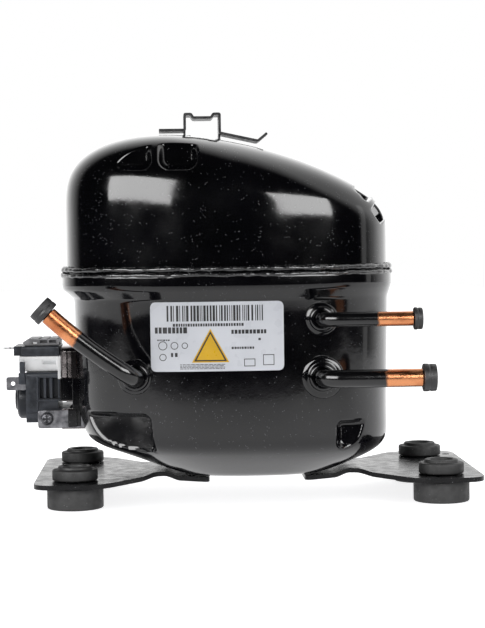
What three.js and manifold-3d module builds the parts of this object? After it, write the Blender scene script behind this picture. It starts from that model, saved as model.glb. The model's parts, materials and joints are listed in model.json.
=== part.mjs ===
// A hermetic reciprocating compressor: a welded two-part steel shell on two sprung feet brackets,
// three tube connectors, a plug-in starter, and inside it a spring-hung motor, crankshaft, piston,
// valves and head. Millimetres, +Z up, +X along the long side, the front faces -Y.
import * as THREE from 'three';
import { mergeVertices } from 'three/addons/utils/BufferGeometryUtils.js';
import Module from 'manifold-3d';

const wasm = await Module();
wasm.setup();

// ---------------------------------------------------------------- clearances and shared values
const gap = 0.3; // between pieces that touch, or that one was cut to fit
const turn = Math.PI * 2;
const quarter = Math.PI / 2;

// ---------------------------------------------------------------- driving dimensions: shell
const planPower = 2.8; // how square the shell is seen from above: 2 is an ellipse
const planSteps = 40;
const innerSteps = 24; // the inside of the shell is plainer
const shellWall = 3;
const upper = { centreX: -12.8, halfX: 76.1, halfY: 66 };
const belt = { wall: 2.8, bottomZ: 100.5, topZ: 107.6 };
const bead = { topZ: 110.3, height: 2.4 };
const skirtDepth = 6; // how far the upper shell reaches down inside the belt
const dome = {
  crownZ: 173.5, crownX: -60, fall: 518, curl: 1.31e-6, // the roof falls away to the right
  wallLeftZ: 135, wallRightZ: 119.3, rings: 7, innerRings: 5,
  power: 3.4, powerRight: 6, spread: 3.7, // the right shoulder is squarer than the rest
};
const lower = { centreX: -11, halfX: upper.halfX - 1.5, halfY: upper.halfY - 1.8 };
const bottom = { z: 11.7, flatHalfX: 34, centreX: -1 };
const flareDrop = 5.2; // the lower wall starts to flare this far below the belt
const wallLeftX = lower.centreX - lower.halfX;

// ---------------------------------------------------------------- driving dimensions: base
const foot = { pitchX: 170, pitchY: 70, blockR: 13, blockZ: 10.1, neckR: 7.7, boreR: 5.25 };
const footFlange = { r: foot.neckR + 2.8, height: 5, collarR: foot.neckR + 0.1, collarHeight: 1.5 };
const bracket = {
  thickness: 2.2, bottomZ: foot.blockZ + gap, outerX: foot.pitchX / 2 + 18.5,
  halfY: foot.pitchY / 2 + 17, shoulderX: foot.pitchX / 2 - 13, neckX: 44, neckHalfY: 19,
  innerX: 22.5, innerHalfY: 22, humpRise: 1.2, cornerR: 5, underShell: 0.6,
};
const trimHole = { x: foot.pitchX / 2 + 13.7, y: foot.pitchY / 2 + 2, r: 1.8 };

// ---------------------------------------------------------------- driving dimensions: tubes
const tubeLineY = -lower.halfY - 9.3; // the connectors run along the front at this depth
const tubeEntryY = -lower.halfY + 7.8;
const bendR = 8;
const capDepth = 6;
const connectors = {
  discharge: {
    x: 27.6, z: 86.6, tubeR: 3.25, wall: 0.75, collarReach: 4.25, collarH: 4.2,
    ends: [[67.1, 86.6]], capReach: 1.75, capH: 4,
  },
  suction: {
    x: 27.9, z: 60.4, tubeR: 4, wall: 0.9, collarReach: 5.7, collarH: 4.6,
    ends: [[71, 60.4]], capReach: 2.2, capH: 6,
  },
  process: {
    x: -56.1, z: 61.7, tubeR: 4, wall: 0.9, collarReach: 4, collarH: 4.6,
    ends: [[-63.5, 66.8], [-79.5, 77.6], [-93.3, 90.5]], capReach: 2, capH: 5.5,
  },
};

// ---------------------------------------------------------------- driving dimensions: label, clip
const label = {
  left: lower.centreX - 37.9, right: lower.centreX + 21.5, bottomZ: belt.bottomZ - 36.5,
  topZ: belt.bottomZ - 5.5, cornerR: 2.6, thickness: 0.4,
};
const clip = { // its heights follow the crown of the dome
  thickness: 1.2, width: 16, flatX: -44, flatZ: dome.crownZ + 1.6, leftX: -31.7, rightX: -15.1,
  earZ: dome.crownZ + 9.1, barZ: dome.crownZ + 7.4, lipX: 3, lipZ: dome.crownZ - 3.9, tipX: 7.4,
  tipZ: dome.crownZ - 0.3, heelZ: dome.crownZ + 0.1, footWidth: 8, footDepth: 10,
};

// ---------------------------------------------------------------- driving dimensions: starter
const plugZ = 51.8; // the middle of the three-pin terminal, on the shell's left wall
const terminal = { r: 14, sealR: 15.6, pinR: 1.15, pinCircle: 5.5, pinOut: 11, pinIn: 9 };
const fence = {
  left: wallLeftX - 6.1, halfY: 19.5, wall: 1.2, bottomZ: plugZ - 17, topZ: plugZ + 21.7,
};
const starter = {
  left: wallLeftX - 22.9, right: wallLeftX - 2.4, halfY: 16, bottomZ: plugZ - 14.2,
  topZ: plugZ + 9.5, recessDepth: 3,
};
const starterHousing = {
  left: wallLeftX - 26.4, right: wallLeftX - 5.9, halfY: 12.5, bottomZ: starter.topZ + gap,
  topZ: starter.topZ + 7.5,
};
const starterLid = {
  left: wallLeftX - 28.7, right: wallLeftX - 7, halfY: 14, bottomZ: starterHousing.topZ + gap,
  topZ: starterHousing.topZ + 4.8,
};
const terminalStrip = {
  left: wallLeftX - 25.4, right: wallLeftX - 7.2, halfY: 11, bottomZ: starterLid.topZ + gap,
  topZ: starterLid.topZ + 4.6,
};
const protector = { z: plugZ - 4, r: 9.5, height: 7.8, sunk: 2 };
const spade = { width: 6.3, thickness: 0.8, holeR: 0.9 };
const groundTab = {
  left: wallLeftX - 17.1, right: wallLeftX + 1, bottomZ: plugZ - 16.5, topZ: plugZ - 8,
  thickness: 1.2,
};
const groundScrew = {
  x: wallLeftX - 12.8, z: plugZ - 11.8, headR: 3, headH: 2.1, shankR: 1.7, shankL: 4,
};

// ---------------------------------------------------------------- driving dimensions: pump
const shaftX = -8; // the crankshaft's axis
const stator = { half: 50, chamfer: 18, bottomZ: 58, topZ: 94, boreR: 28.3 };
const winding = { innerR: 29.5, outerR: 42, height: 11, slots: 12, slotWidth: 8, slotInnerR: 31.5,
  slotOuterR: 40 };
const airGap = 0.4;
const crank = { journalR: 8, radius: 8, webTop: 122.4, webBottom: 118.7, sweepR: 21.5, pinR: 7 };
const bore = { r: 13, start: 23, end: 49.5 }; // start and end are distances from the shaft
const cylinderZ = crank.webTop + bore.r + 0.1; // the piston passes over the crank's web
const rodLength = 30;
const bigEnd = { r: 11, height: 13.4 };
const smallEnd = { r: 6.6, height: 8, pinR: 4 };
const piston = { crown: 9, skirt: 11, slotHalfY: 9, slotHalfZ: 5.2 };
const valvePlate = { half: bore.r + 10, thickness: 3, cornerR: 4 };
const head = { depth: 11, wall: 5 };
const gasket = 0.6;
const reed = { thickness: 0.4, halfWidth: 3.5, length: 17 };
const portR = 2.2;
const muffler = { left: -50, right: -24, nearY: valvePlate.half + 2, farY: 45, cornerR: 5, neck: 6 };
const bearing = { hubR: 15, hubBottom: 96, plateBottom: 106, plateTop: 117.2 };
const bolt = { x: 40, y: 36, r: 2.6, headR: 8.2, headH: 3.6, legR: 7 };
const headBolt = { pitch: bore.r + 4.5, r: 2, headR: 3.6, headH: 3 };
const spring = { wireR: 0.8, coilR: 6.6, turns: 5, seatZ: 30.4, studR: 4.6, studHeight: 7.5 };

// ---------------------------------------------------------------- materials
function finish(color, roughness, metalness) {
  return new THREE.MeshStandardMaterial({ color, roughness, metalness });
}
const blackPaint = finish(0x17171a, 0.25, 0.2);
const blackRubber = finish(0x101011, 0.8, 0);
const blackPlastic = finish(0x1b1b1d, 0.5, 0);
const whitePlastic = finish(0xd8d6cf, 0.5, 0);
const greyPlastic = finish(0x8f9092, 0.5, 0);
const whiteLabel = finish(0xe9ebf0, 0.4, 0);
const copper = finish(0xb8683f, 0.3, 1);
const zincSteel = finish(0xa9abb0, 0.35, 1);
const brightSteel = finish(0xc6c8cc, 0.25, 1);
const castIron = finish(0x55575a, 0.6, 0.8);
const lamination = finish(0x6b6d72, 0.45, 0.9);
const enamelledWire = finish(0xa8572a, 0.4, 0.6);
const castAluminium = finish(0xb4b6b8, 0.45, 0.9);
const glassSeal = finish(0x2c4a3c, 0.2, 0);

// ---------------------------------------------------------------- solids from three.js geometry
function trianglesOf(geometry) {
  const bare = new THREE.BufferGeometry();
  bare.setAttribute('position', geometry.attributes.position.clone());
  if (geometry.index) {
    bare.setIndex(geometry.index.clone());
  }
  const merged = mergeVertices(bare, 1e-4);
  const corners = [];
  for (let i = 0; i < merged.index.count; i += 3) {
    const [a, b, c] = [0, 1, 2].map((k) => merged.index.getX(i + k));
    if (a !== b && b !== c && c !== a) {
      corners.push(a, b, c);
    }
  }
  return { points: Float32Array.from(merged.attributes.position.array), corners };
}

function signedVolume(points, corners) {
  const at = (i) => new THREE.Vector3().fromArray(points, corners[i] * 3);
  let sum = 0;
  for (let i = 0; i < corners.length; i += 3) {
    sum += at(i).dot(at(i + 1).cross(at(i + 2)));
  }
  return sum;
}

// A closed geometry as a solid, with its faces turned outward.
function solid(geometry) {
  const { points, corners } = trianglesOf(geometry);
  if (signedVolume(points, corners) < 0) {
    corners.reverse();
  }
  const triVerts = Uint32Array.from(corners);
  return new wasm.Manifold(new wasm.Mesh({ numProp: 3, vertProperties: points, triVerts }));
}

function geometryOf(body) {
  const mesh = body.getMesh();
  const geometry = new THREE.BufferGeometry();
  geometry.setAttribute('position', new THREE.BufferAttribute(mesh.vertProperties, 3));
  geometry.setIndex(new THREE.BufferAttribute(mesh.triVerts, 1));
  geometry.computeVertexNormals();
  return geometry;
}

function unionOf(bodies) {
  return bodies.reduce((all, body) => all.add(body));
}

// A block between two opposite corners.
function block(x0, x1, y0, y1, z0, z1) {
  const box = new THREE.BoxGeometry(x1 - x0, y1 - y0, z1 - z0);
  return solid(box.translate((x0 + x1) / 2, (y0 + y1) / 2, (z0 + z1) / 2));
}

// A round bar from one point, along x, y or z.
function bar(radius, length, axis, [x, y, z], segments = 16) {
  const geometry = new THREE.CylinderGeometry(radius, radius, length, segments);
  geometry.translate(0, length / 2, 0);
  if (axis === 'x') {
    geometry.rotateZ(-quarter);
  }
  if (axis === 'z') {
    geometry.rotateX(quarter);
  }
  return solid(geometry.translate(x, y, z));
}

// A turned piece about +Z from [radius, height] points, closed on the axis or on itself.
function turned(profile, segments = 16) {
  const points = profile.map(([r, z]) => new THREE.Vector2(r, z));
  return new THREE.LatheGeometry(points, segments).rotateX(quarter);
}

function ringProfile(profile) {
  return [...profile, profile[0]];
}

function roundedRectangle(x0, x1, y0, y1, radius) {
  const shape = new THREE.Shape();
  shape.moveTo(x0 + radius, y0);
  shape.lineTo(x1 - radius, y0);
  shape.absarc(x1 - radius, y0 + radius, radius, -quarter, 0, false);
  shape.absarc(x1 - radius, y1 - radius, radius, 0, quarter, false);
  shape.absarc(x0 + radius, y1 - radius, radius, quarter, 2 * quarter, false);
  shape.absarc(x0 + radius, y0 + radius, radius, 2 * quarter, 3 * quarter, false);
  return shape;
}

function circleShape(radius) {
  const shape = new THREE.Shape();
  shape.absarc(0, 0, radius, 0, turn, false);
  return shape;
}

// A flat outline in X and Y, raised along Z from z0 to z1.
function raised(shape, z0, z1, curveSegments = 2) {
  const options = { depth: z1 - z0, bevelEnabled: false, curveSegments };
  return new THREE.ExtrudeGeometry(shape, options).translate(0, 0, z0);
}

// A flat outline in X and Z, carried along Y from y0 to y1.
function carriedAlongY(shape, y0, y1, curveSegments = 2) {
  const options = { depth: y1 - y0, bevelEnabled: false, curveSegments };
  return new THREE.ExtrudeGeometry(shape, options).rotateX(quarter).translate(0, y1, 0);
}

// A flat outline in Y and Z, carried along X from x0 to x1.
function carriedAlongX(shape, x0, x1, curveSegments = 2) {
  const options = { depth: x1 - x0, bevelEnabled: false, curveSegments };
  const geometry = new THREE.ExtrudeGeometry(shape, options);
  return geometry.rotateX(quarter).rotateZ(quarter).translate(x0, 0, 0);
}

function tubeAlong(path, radius, steps, sides, boreRadius = 0) {
  const section = circleShape(radius);
  if (boreRadius > 0) {
    section.holes.push(new THREE.Path().absarc(0, 0, boreRadius, 0, turn, true));
  }
  return new THREE.ExtrudeGeometry(section, {
    steps, curveSegments: sides / 2, bevelEnabled: false, extrudePath: path,
  });
}

function outlineThrough(points) {
  return new THREE.Shape(points.map(([x, y]) => new THREE.Vector2(x, y)));
}

// The outline of a bent strip: a line of points made thick on both sides.
function stripOutline(line, thickness) {
  const points = line.map(([x, y]) => new THREE.Vector2(x, y));
  const side = (sign) => points.map((point, i) => {
    const back = points[Math.max(i - 1, 0)];
    const ahead = points[Math.min(i + 1, points.length - 1)];
    const arriving = i > 0 ? point.clone().sub(back).normalize() : null;
    const leaving = i < points.length - 1 ? ahead.clone().sub(point).normalize() : null;
    const along = new THREE.Vector2().add(arriving ?? leaving).add(leaving ?? arriving).normalize();
    const reach = thickness / 2 / Math.max(along.dot(arriving ?? leaving), 0.3);
    return point.clone().add(new THREE.Vector2(-along.y, along.x).multiplyScalar(sign * reach));
  });
  return new THREE.Shape([...side(1), ...side(-1).reverse()]);
}

// ---------------------------------------------------------------- the scene graph
const compressor = new THREE.Group();
const pump = new THREE.Group();
compressor.add(pump);

function addPart(name, shape, material, at = [0, 0, 0], parent = compressor) {
  const geometry = geometryOf(shape instanceof THREE.BufferGeometry ? solid(shape) : shape);
  const mesh = new THREE.Mesh(geometry, material);
  mesh.name = name;
  mesh.position.set(...at);
  parent.add(mesh);
  return mesh;
}

// ---------------------------------------------------------------- shell form
// Each row is a ring of the shell: how far it reaches along X, its height (a number, or worked
// out from x) and the middle of the ring. Depth follows from the same reach.
function shellForm(rows, plan, steps = planSteps) {
  const profile = rows.map((row, index) => new THREE.Vector2(row.reach, index));
  const form = new THREE.LatheGeometry(profile, steps);
  const place = form.attributes.position;
  const exponent = 2 / planPower;
  for (let i = 0; i < place.count; i += 1) {
    const row = rows[i % rows.length];
    const angle = Math.floor(i / rows.length) / steps * turn;
    const depth = row.reach > plan.halfX
      ? plan.halfY + row.reach - plan.halfX
      : plan.halfY * row.reach / plan.halfX;
    const side = Math.cos(angle);
    const front = Math.sin(angle);
    const x = (row.centreX ?? plan.centreX)
      + row.reach * Math.sign(side) * Math.abs(side) ** exponent;
    const y = depth * Math.sign(front) * Math.abs(front) ** exponent;
    const z = typeof row.z === 'function' ? row.z(x) : row.z;
    place.setXYZ(i, x, y, z);
  }
  return solid(form);
}

// How deep the shell's front wall lies at x.
function wallY(plan, x) {
  const share = Math.abs((x - plan.centreX) / plan.halfX);
  return -plan.halfY * (1 - share ** planPower) ** (1 / planPower);
}

function inset(plan, wall) {
  return { ...plan, halfX: plan.halfX - wall, halfY: plan.halfY - wall };
}

function roofZ(x) {
  const run = x - dome.crownX;
  return dome.crownZ - run ** 2 / dome.fall - dome.curl * run ** 3;
}

function wallTopZ(x) {
  const share = (x - upper.centreX + upper.halfX) / (2 * upper.halfX);
  return dome.wallLeftZ + (dome.wallRightZ - dome.wallLeftZ) * share;
}

// How much of the height between wall and roof is reached at this share of the way out.
function domeRise(share, x) {
  const right = Math.max(0, (x - upper.centreX) / upper.halfX);
  const power = dome.power + (dome.powerRight - dome.power) * right ** 2;
  return Math.max(0, 1 - share ** power) ** (1 / power);
}

function domeRows(plan, drop, rings = dome.rings) {
  const rows = [];
  for (let k = 0; k <= rings; k += 1) {
    const angle = quarter * k / rings;
    const share = k === rings ? 0 : Math.cos(angle) ** (2 / dome.spread);
    const z = (x) => wallTopZ(x) + (roofZ(x) - drop - wallTopZ(x)) * domeRise(share, x);
    rows.push({ reach: plan.halfX * share, z });
  }
  return rows;
}

// Stamped pockets: each one is cut from the outside and the wall follows it on the inside.
const domePockets = {
  left: -65.4, ribLeft: -47.2, ribRight: -44.1, right: -26.8, floorY: -upper.halfY + 14,
  bottomZ: 153.9, cornerR: 4.5,
};
const shoulderPocket = {
  width: 9.4, pitch: 12, depth: 5.5, halfY: 15, y: -19, x: 56.7, z: 141.3, slope: 0.88,
  cornerR: 3,
};
// The left pair runs slanted across the corner of the shell, the right pair straight.
const cornerPockets = {
  x: -46, y: lower.halfY - 12.2, length: 46, slant: 0.44, bottomZ: 25, topZ: 44.8, cornerR: 4,
};
const sidePockets = {
  left: 34.5, right: 49.5, y: lower.halfY - 15.5, bottomZ: 26.5, topZ: 40, cornerR: 3.5,
};
const farOut = 100; // tools reach at least this far past the shell

function frontPocket(x0, x1, z0, z1, floorY, radius, grow) {
  const outline = roundedRectangle(x0 - grow, x1 + grow, z0 - grow, z1 + grow, radius + grow);
  return solid(carriedAlongY(outline, -farOut, floorY + grow));
}

function domePocketTools(grow) {
  const { bottomZ, floorY, cornerR } = domePockets;
  const spans = [[domePockets.left, domePockets.ribLeft], [domePockets.ribRight, domePockets.right]];
  const topZ = dome.crownZ + farOut;
  const tools = spans.map(([x0, x1]) => frontPocket(x0, x1, bottomZ, topZ, floorY, cornerR, grow));
  const { width, pitch, depth, halfY, y, x, z, slope } = shoulderPocket;
  for (const side of [-1, 1]) {
    const half = width / 2 + grow;
    const middle = side * pitch / 2;
    const outline = roundedRectangle(middle - half, middle + half, y - halfY - grow,
      y + halfY + grow, shoulderPocket.cornerR + grow);
    const tool = raised(outline, -depth - grow, farOut / 5).rotateY(slope).translate(x, 0, z);
    tools.push(solid(tool));
  }
  return unionOf(tools);
}

function springPocketTools(grow) {
  const { x, y, length, slant, bottomZ, topZ, cornerR } = cornerPockets;
  const { left, right } = sidePockets;
  const tools = [
    frontPocket(-length, 0, bottomZ, topZ, 0, cornerR, grow)
      .rotate([0, 0, -THREE.MathUtils.radToDeg(slant)]).translate([x, -y, 0]),
    frontPocket(left, right, sidePockets.bottomZ, sidePockets.topZ, -sidePockets.y,
      sidePockets.cornerR, grow),
  ];
  return unionOf(tools.flatMap((tool) => [tool, tool.mirror([0, 1, 0])]));
}

// Upper shell: dome, wall, weld bead over the belt's edge, and a skirt inside the belt.
const skirtBottomZ = belt.topZ - skirtDepth;
const beadStartZ = belt.topZ + gap;
const beltOuter = upper.halfX + gap + belt.wall;

function upperOuter() {
  return shellForm([
    { reach: 0, z: skirtBottomZ },
    { reach: upper.halfX, z: skirtBottomZ },
    { reach: upper.halfX, z: beadStartZ },
    { reach: beltOuter - 0.4, z: beadStartZ },
    { reach: beltOuter, z: beadStartZ + bead.height * 0.45 },
    { reach: beltOuter - 0.9, z: bead.topZ },
    { reach: upper.halfX, z: bead.topZ + 1 },
    ...domeRows(upper, 0),
  ], upper);
}

function upperInner(wall) {
  const plan = inset(upper, wall);
  return shellForm([
    { reach: 0, z: skirtBottomZ - gap }, { reach: plan.halfX, z: skirtBottomZ - gap },
    ...domeRows(plan, wall, dome.innerRings),
  ], plan, innerSteps);
}

const upperCavity = upperInner(shellWall).subtract(domePocketTools(shellWall));
const upperShell = upperOuter().subtract(domePocketTools(0)).subtract(upperCavity);
addPart('upper_shell', upperShell, blackPaint);

// Lower shell: a dished bottom, a slightly tapered wall, and the rim flared out into the belt.
const cornerTop = { z: 32, centreX: -9.4 };
const wallStartZ = 42;
const flareZ = belt.bottomZ - flareDrop;

function bottomRows(wall) {
  return [
    { reach: 0, z: bottom.z + wall, centreX: bottom.centreX },
    { reach: bottom.flatHalfX, z: bottom.z + wall, centreX: bottom.centreX },
    { reach: 44, z: 16 + wall, centreX: -1.5 },
    { reach: lower.halfX - 15, z: 22.6 + wall, centreX: -2.5 },
    { reach: lower.halfX - 5.6 - wall * 0.5, z: 27.6 + wall, centreX: -7 },
    { reach: lower.halfX - 2.2 - wall, z: cornerTop.z + wall * 0.5, centreX: cornerTop.centreX },
    { reach: lower.halfX - 1 - wall, z: wallStartZ },
  ];
}

function lowerOuter() {
  const rim = { centreX: upper.centreX };
  return shellForm([
    ...bottomRows(0),
    { reach: lower.halfX, z: flareZ },
    { reach: lower.halfX + 1.4, z: flareZ + 1.6, centreX: (lower.centreX + upper.centreX) / 2 },
    { reach: beltOuter - 1.2, z: belt.bottomZ - 1.6, ...rim },
    { reach: beltOuter, z: belt.bottomZ + 0.8, ...rim },
    { reach: beltOuter, z: belt.topZ - 0.7, ...rim },
    { reach: beltOuter - 0.7, z: belt.topZ, ...rim },
    { reach: 0, z: belt.topZ, ...rim },
  ], lower);
}

function lowerInner() {
  return shellForm([
    ...bottomRows(shellWall),
    { reach: lower.halfX - shellWall, z: flareZ },
    { reach: upper.halfX - 1, z: skirtBottomZ, centreX: upper.centreX },
    { reach: 0, z: skirtBottomZ, centreX: upper.centreX },
  ], lower, innerSteps);
}

// The bore of the belt, which the skirt of the upper shell stands in.
function beltBore() {
  const reach = upper.halfX + gap;
  return shellForm([
    { reach: 0, z: skirtBottomZ - gap }, { reach, z: skirtBottomZ - gap },
    { reach, z: belt.topZ + 5 }, { reach: 0, z: belt.topZ + 5 },
  ], upper);
}

const lowerSolid = lowerOuter().subtract(springPocketTools(0));
const lowerCavity = lowerInner().subtract(springPocketTools(shellWall)).add(beltBore());
const tubeHoles = Object.values(connectors).map(({ x, z, tubeR }) => (
  bar(tubeR + gap, farOut, 'y', [x, tubeEntryY + 10 - farOut, z])
));
const terminalHole = bar(terminal.r + gap, 30, 'x', [wallLeftX - 10, 0, plugZ], 32);
const corners = [['front_left', -1, -1], ['front_right', 1, -1], ['rear_left', -1, 1],
  ['rear_right', 1, 1]];

// The suspension's four seats are welded to the bottom and are one piece with it.
const springSeats = unionOf(corners.map(([, sideX, sideY]) => {
  const disc = spring.coilR + 1.6;
  const { studR, seatZ, studHeight } = spring;
  const seat = turned([
    [0, 18], [disc, 18], [disc, seatZ], [studR, seatZ], [studR, seatZ + studHeight - 1],
    [studR - 1, seatZ + studHeight], [0, seatZ + studHeight],
  ], 14);
  return solid(seat.translate(shaftX + sideX * bolt.x, sideY * bolt.y, 0));
})).intersect(lowerSolid);
const lowerShell = lowerSolid.subtract(lowerCavity).add(springSeats)
  .subtract(unionOf([...tubeHoles, terminalHole]));
addPart('lower_shell', lowerShell, blackPaint);

// The wall of the lower shell, grown: what stands on the wall is cut back to it by the gap.
function grownWall(grow) {
  return shellForm([
    { reach: 0, z: cornerTop.z },
    { reach: lower.halfX - 2.2 + grow, z: cornerTop.z, centreX: cornerTop.centreX },
    { reach: lower.halfX - 1 + grow, z: wallStartZ },
    { reach: lower.halfX + grow, z: flareZ },
    { reach: 0, z: flareZ },
  ], lower);
}
const seatOnShell = grownWall(gap);

// ---------------------------------------------------------------- base brackets and grommets
function bracketSolid(withTrimHole) {
  const { thickness, bottomZ, outerX, halfY, shoulderX, neckX, neckHalfY, innerX } = bracket;
  const { innerHalfY, humpRise, underShell } = bracket;
  const middle = bottomZ + thickness / 2;
  const innerDrop = bottomZ + thickness - (bottom.z - underShell);
  const line = [
    [outerX, middle], [neckX + 11, middle], [neckX + 4, middle + humpRise],
    [neckX - 1, middle + humpRise], [neckX - 9, middle - innerDrop], [innerX, middle - innerDrop],
  ];
  const folded = solid(carriedAlongY(stripOutline(line, thickness), -halfY, halfY));
  const corner = bracket.cornerR;
  const half = [
    [innerX, innerHalfY], [neckX - 6, neckHalfY + 1], [neckX, neckHalfY],
    [neckX + 5, neckHalfY + 2], [shoulderX - 3, halfY - 4], [shoulderX + 3, halfY],
    [outerX - corner, halfY], [outerX - corner * 0.3, halfY - corner * 0.3],
    [outerX, halfY - corner],
  ];
  const mirrored = half.map(([x, y]) => [x, -y]).reverse();
  const plan = solid(raised(outlineThrough([...half, ...mirrored]), 0, 30));
  const holes = [-1, 1].map((side) => (
    bar(foot.neckR + gap, 30, 'z', [foot.pitchX / 2, side * foot.pitchY / 2, 0], 24)
  ));
  if (withTrimHole) {
    holes.push(bar(trimHole.r, 30, 'z', [trimHole.x, trimHole.y, 0], 16));
  }
  return folded.intersect(plan).subtract(unionOf(holes));
}

addPart('right_base_bracket', bracketSolid(true), blackPaint);
addPart('left_base_bracket', bracketSolid(false), blackPaint).rotation.z = Math.PI;

const plateTopZ = bracket.bottomZ + bracket.thickness;
const flangeBottomZ = plateTopZ + gap;
const flangeTopZ = flangeBottomZ + footFlange.height;
const grommet = turned(ringProfile([
  [foot.boreR, 0], [foot.blockR - 1, 0], [foot.blockR, 1], [foot.blockR, foot.blockZ - 1.2],
  [foot.blockR - 1.2, foot.blockZ], [foot.neckR, foot.blockZ], [foot.neckR, flangeBottomZ],
  [footFlange.r, flangeBottomZ], [footFlange.r, flangeTopZ], [footFlange.collarR, flangeTopZ],
  [footFlange.collarR, flangeTopZ + footFlange.collarHeight],
  [foot.boreR, flangeTopZ + footFlange.collarHeight],
]));
for (const [side, x] of [['left', -1], ['right', 1]]) {
  for (const [end, y] of [['front', -1], ['rear', 1]]) {
    const at = [x * foot.pitchX / 2, y * foot.pitchY / 2, 0];
    addPart(`${side}_${end}_grommet`, grommet, blackRubber, at);
  }
}

// ---------------------------------------------------------------- tube connectors
function tubePath({ x, z, ends }) {
  const start = new THREE.Vector3(x, tubeEntryY, z);
  const bendStart = new THREE.Vector3(x, tubeLineY + bendR, z);
  const corner = new THREE.Vector3(x, tubeLineY, z);
  const points = ends.map(([px, pz]) => new THREE.Vector3(px, tubeLineY, pz));
  const heading = points[0].clone().sub(corner).normalize();
  const bendEnd = corner.clone().addScaledVector(heading, bendR);
  const path = new THREE.CurvePath();
  path.add(new THREE.LineCurve3(start, bendStart));
  path.add(new THREE.QuadraticBezierCurve3(bendStart, corner, bendEnd));
  if (points.length === 1) {
    path.add(new THREE.LineCurve3(bendEnd, points[0]));
  } else {
    path.add(new THREE.LineCurve3(bendEnd, points[0]));
    path.add(new THREE.QuadraticBezierCurve3(...points));
  }
  return path;
}

// The collar's foot is long enough to be cut back to the curved wall.
function collarSolid({ x, z, tubeR, collarReach, collarH }) {
  const front = wallY(lower, x);
  const collarR = tubeR + collarReach;
  const ring = turned(ringProfile([
    [tubeR + gap, -8], [collarR, -8], [collarR, 1.4], [collarR - 1, 2.2],
    [tubeR + 2.2, 2.6], [tubeR + 1.8, collarH], [tubeR + gap, collarH],
  ]));
  return solid(ring.rotateX(quarter).translate(x, front, z)).subtract(seatOnShell);
}

function capSolid({ tubeR, wall, capReach, capH }) {
  const boreR = tubeR - wall;
  const capR = tubeR + capReach;
  return turned([
    [0, -capDepth], [boreR - gap, -capDepth], [boreR - gap, gap], [capR, gap],
    [capR, capH - 1], [capR - 1.2, capH], [0, capH],
  ]);
}

for (const [name, connector] of Object.entries(connectors)) {
  const path = tubePath(connector);
  const steps = connector.ends.length === 1 ? 12 : 16;
  const { tubeR, wall } = connector;
  addPart(`${name}_tube`, tubeAlong(path, tubeR, steps, 8, tubeR - wall), copper);
  addPart(`${name}_collar`, collarSolid(connector), blackPaint);
  const end = path.getPoint(1);
  const plug = addPart(`${name}_cap`, capSolid(connector), blackRubber, end.toArray());
  plug.quaternion.setFromUnitVectors(new THREE.Vector3(0, 0, 1), path.getTangent(1).normalize());
}

// ---------------------------------------------------------------- rating label
function labelSolid() {
  const { left, right, bottomZ, topZ, cornerR, thickness } = label;
  const outline = roundedRectangle(left, right, bottomZ, topZ, cornerR);
  const patch = solid(carriedAlongY(outline, -farOut, -lower.halfY / 2));
  return grownWall(gap + thickness).subtract(seatOnShell).intersect(patch);
}
addPart('rating_label', labelSolid(), whiteLabel);

// ---------------------------------------------------------------- tray clip on the roof
function clipSolid() {
  const { thickness, width, flatX, flatZ, leftX, rightX, earZ, barZ, lipX, lipZ } = clip;
  const { tipX, tipZ, heelZ, footWidth, footDepth } = clip;
  const line = [
    [flatX, flatZ], [leftX, flatZ], [leftX, earZ], [leftX + 3, earZ], [leftX + 4, barZ],
    [rightX - 4, barZ], [rightX - 3, earZ], [rightX, earZ], [rightX, heelZ], [lipX, lipZ],
    [tipX, tipZ],
  ];
  const strip = solid(carriedAlongY(stripOutline(line, thickness), -width / 2, width / 2));
  const half = footWidth / 2;
  const feet = [
    block(leftX - 0.7, leftX + 2.9, -half, half, flatZ - footDepth, flatZ),
    block(rightX - 6.7, rightX + 0.5, -half, half, flatZ - footDepth, heelZ),
  ];
  const roof = shellForm([
    { reach: 0, z: belt.topZ }, { reach: upper.halfX, z: belt.topZ }, ...domeRows(upper, -gap),
  ], upper);
  return unionOf([strip, ...feet]).subtract(roof);
}
addPart('tray_clip', clipSolid(), zincSteel);

// ---------------------------------------------------------------- hermetic terminal and fence
const terminalBody = turned([
  [0, 0], [terminal.r, 0], [terminal.r, 6.2], [terminal.sealR, 6.2], [terminal.sealR, 7.4],
  [terminal.r - 2, 7.4], [terminal.r - 4, 2.4], [0, 2.4],
], 24);
const pinSpots = [0, 1, 2].map((k) => {
  const angle = quarter + k * turn / 3;
  return [Math.cos(angle) * terminal.pinCircle, plugZ + Math.sin(angle) * terminal.pinCircle];
});
// The cup stands inside the wall with its open side to the pump.
const cupX = wallLeftX + 0.8;
const pinLength = terminal.pinOut + 3 + terminal.pinIn;
const pins = pinSpots.map(([y, z]) => (
  bar(terminal.pinR, pinLength, 'x', [cupX - terminal.pinOut, y, z], 8)
));
const terminalCup = solid(terminalBody.rotateY(quarter).translate(cupX, 0, plugZ));
addPart('hermetic_terminal', terminalCup.add(unionOf(pins)), glassSeal);

function fenceSolid() {
  const { left, halfY, wall, bottomZ, topZ } = fence;
  const outside = block(left, wallLeftX + 12, -halfY, halfY, bottomZ, topZ);
  const inside = block(left - 5, wallLeftX + 14, -halfY + wall, halfY - wall, bottomZ - 5,
    topZ - wall);
  return outside.subtract(inside).subtract(seatOnShell);
}
addPart('terminal_fence', fenceSolid(), zincSteel);

// ---------------------------------------------------------------- plug-in starter and protector
const socketHoles = unionOf(pinSpots.map(([y, z]) => (
  bar(terminal.pinR + gap, terminal.pinOut + 4, 'x', [cupX - terminal.pinOut - 1, y, z], 8)
)));
const discHole = bar(protector.r + gap, 6, 'x',
  [starter.left - 6 + protector.sunk, 0, protector.z], 24);

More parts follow.
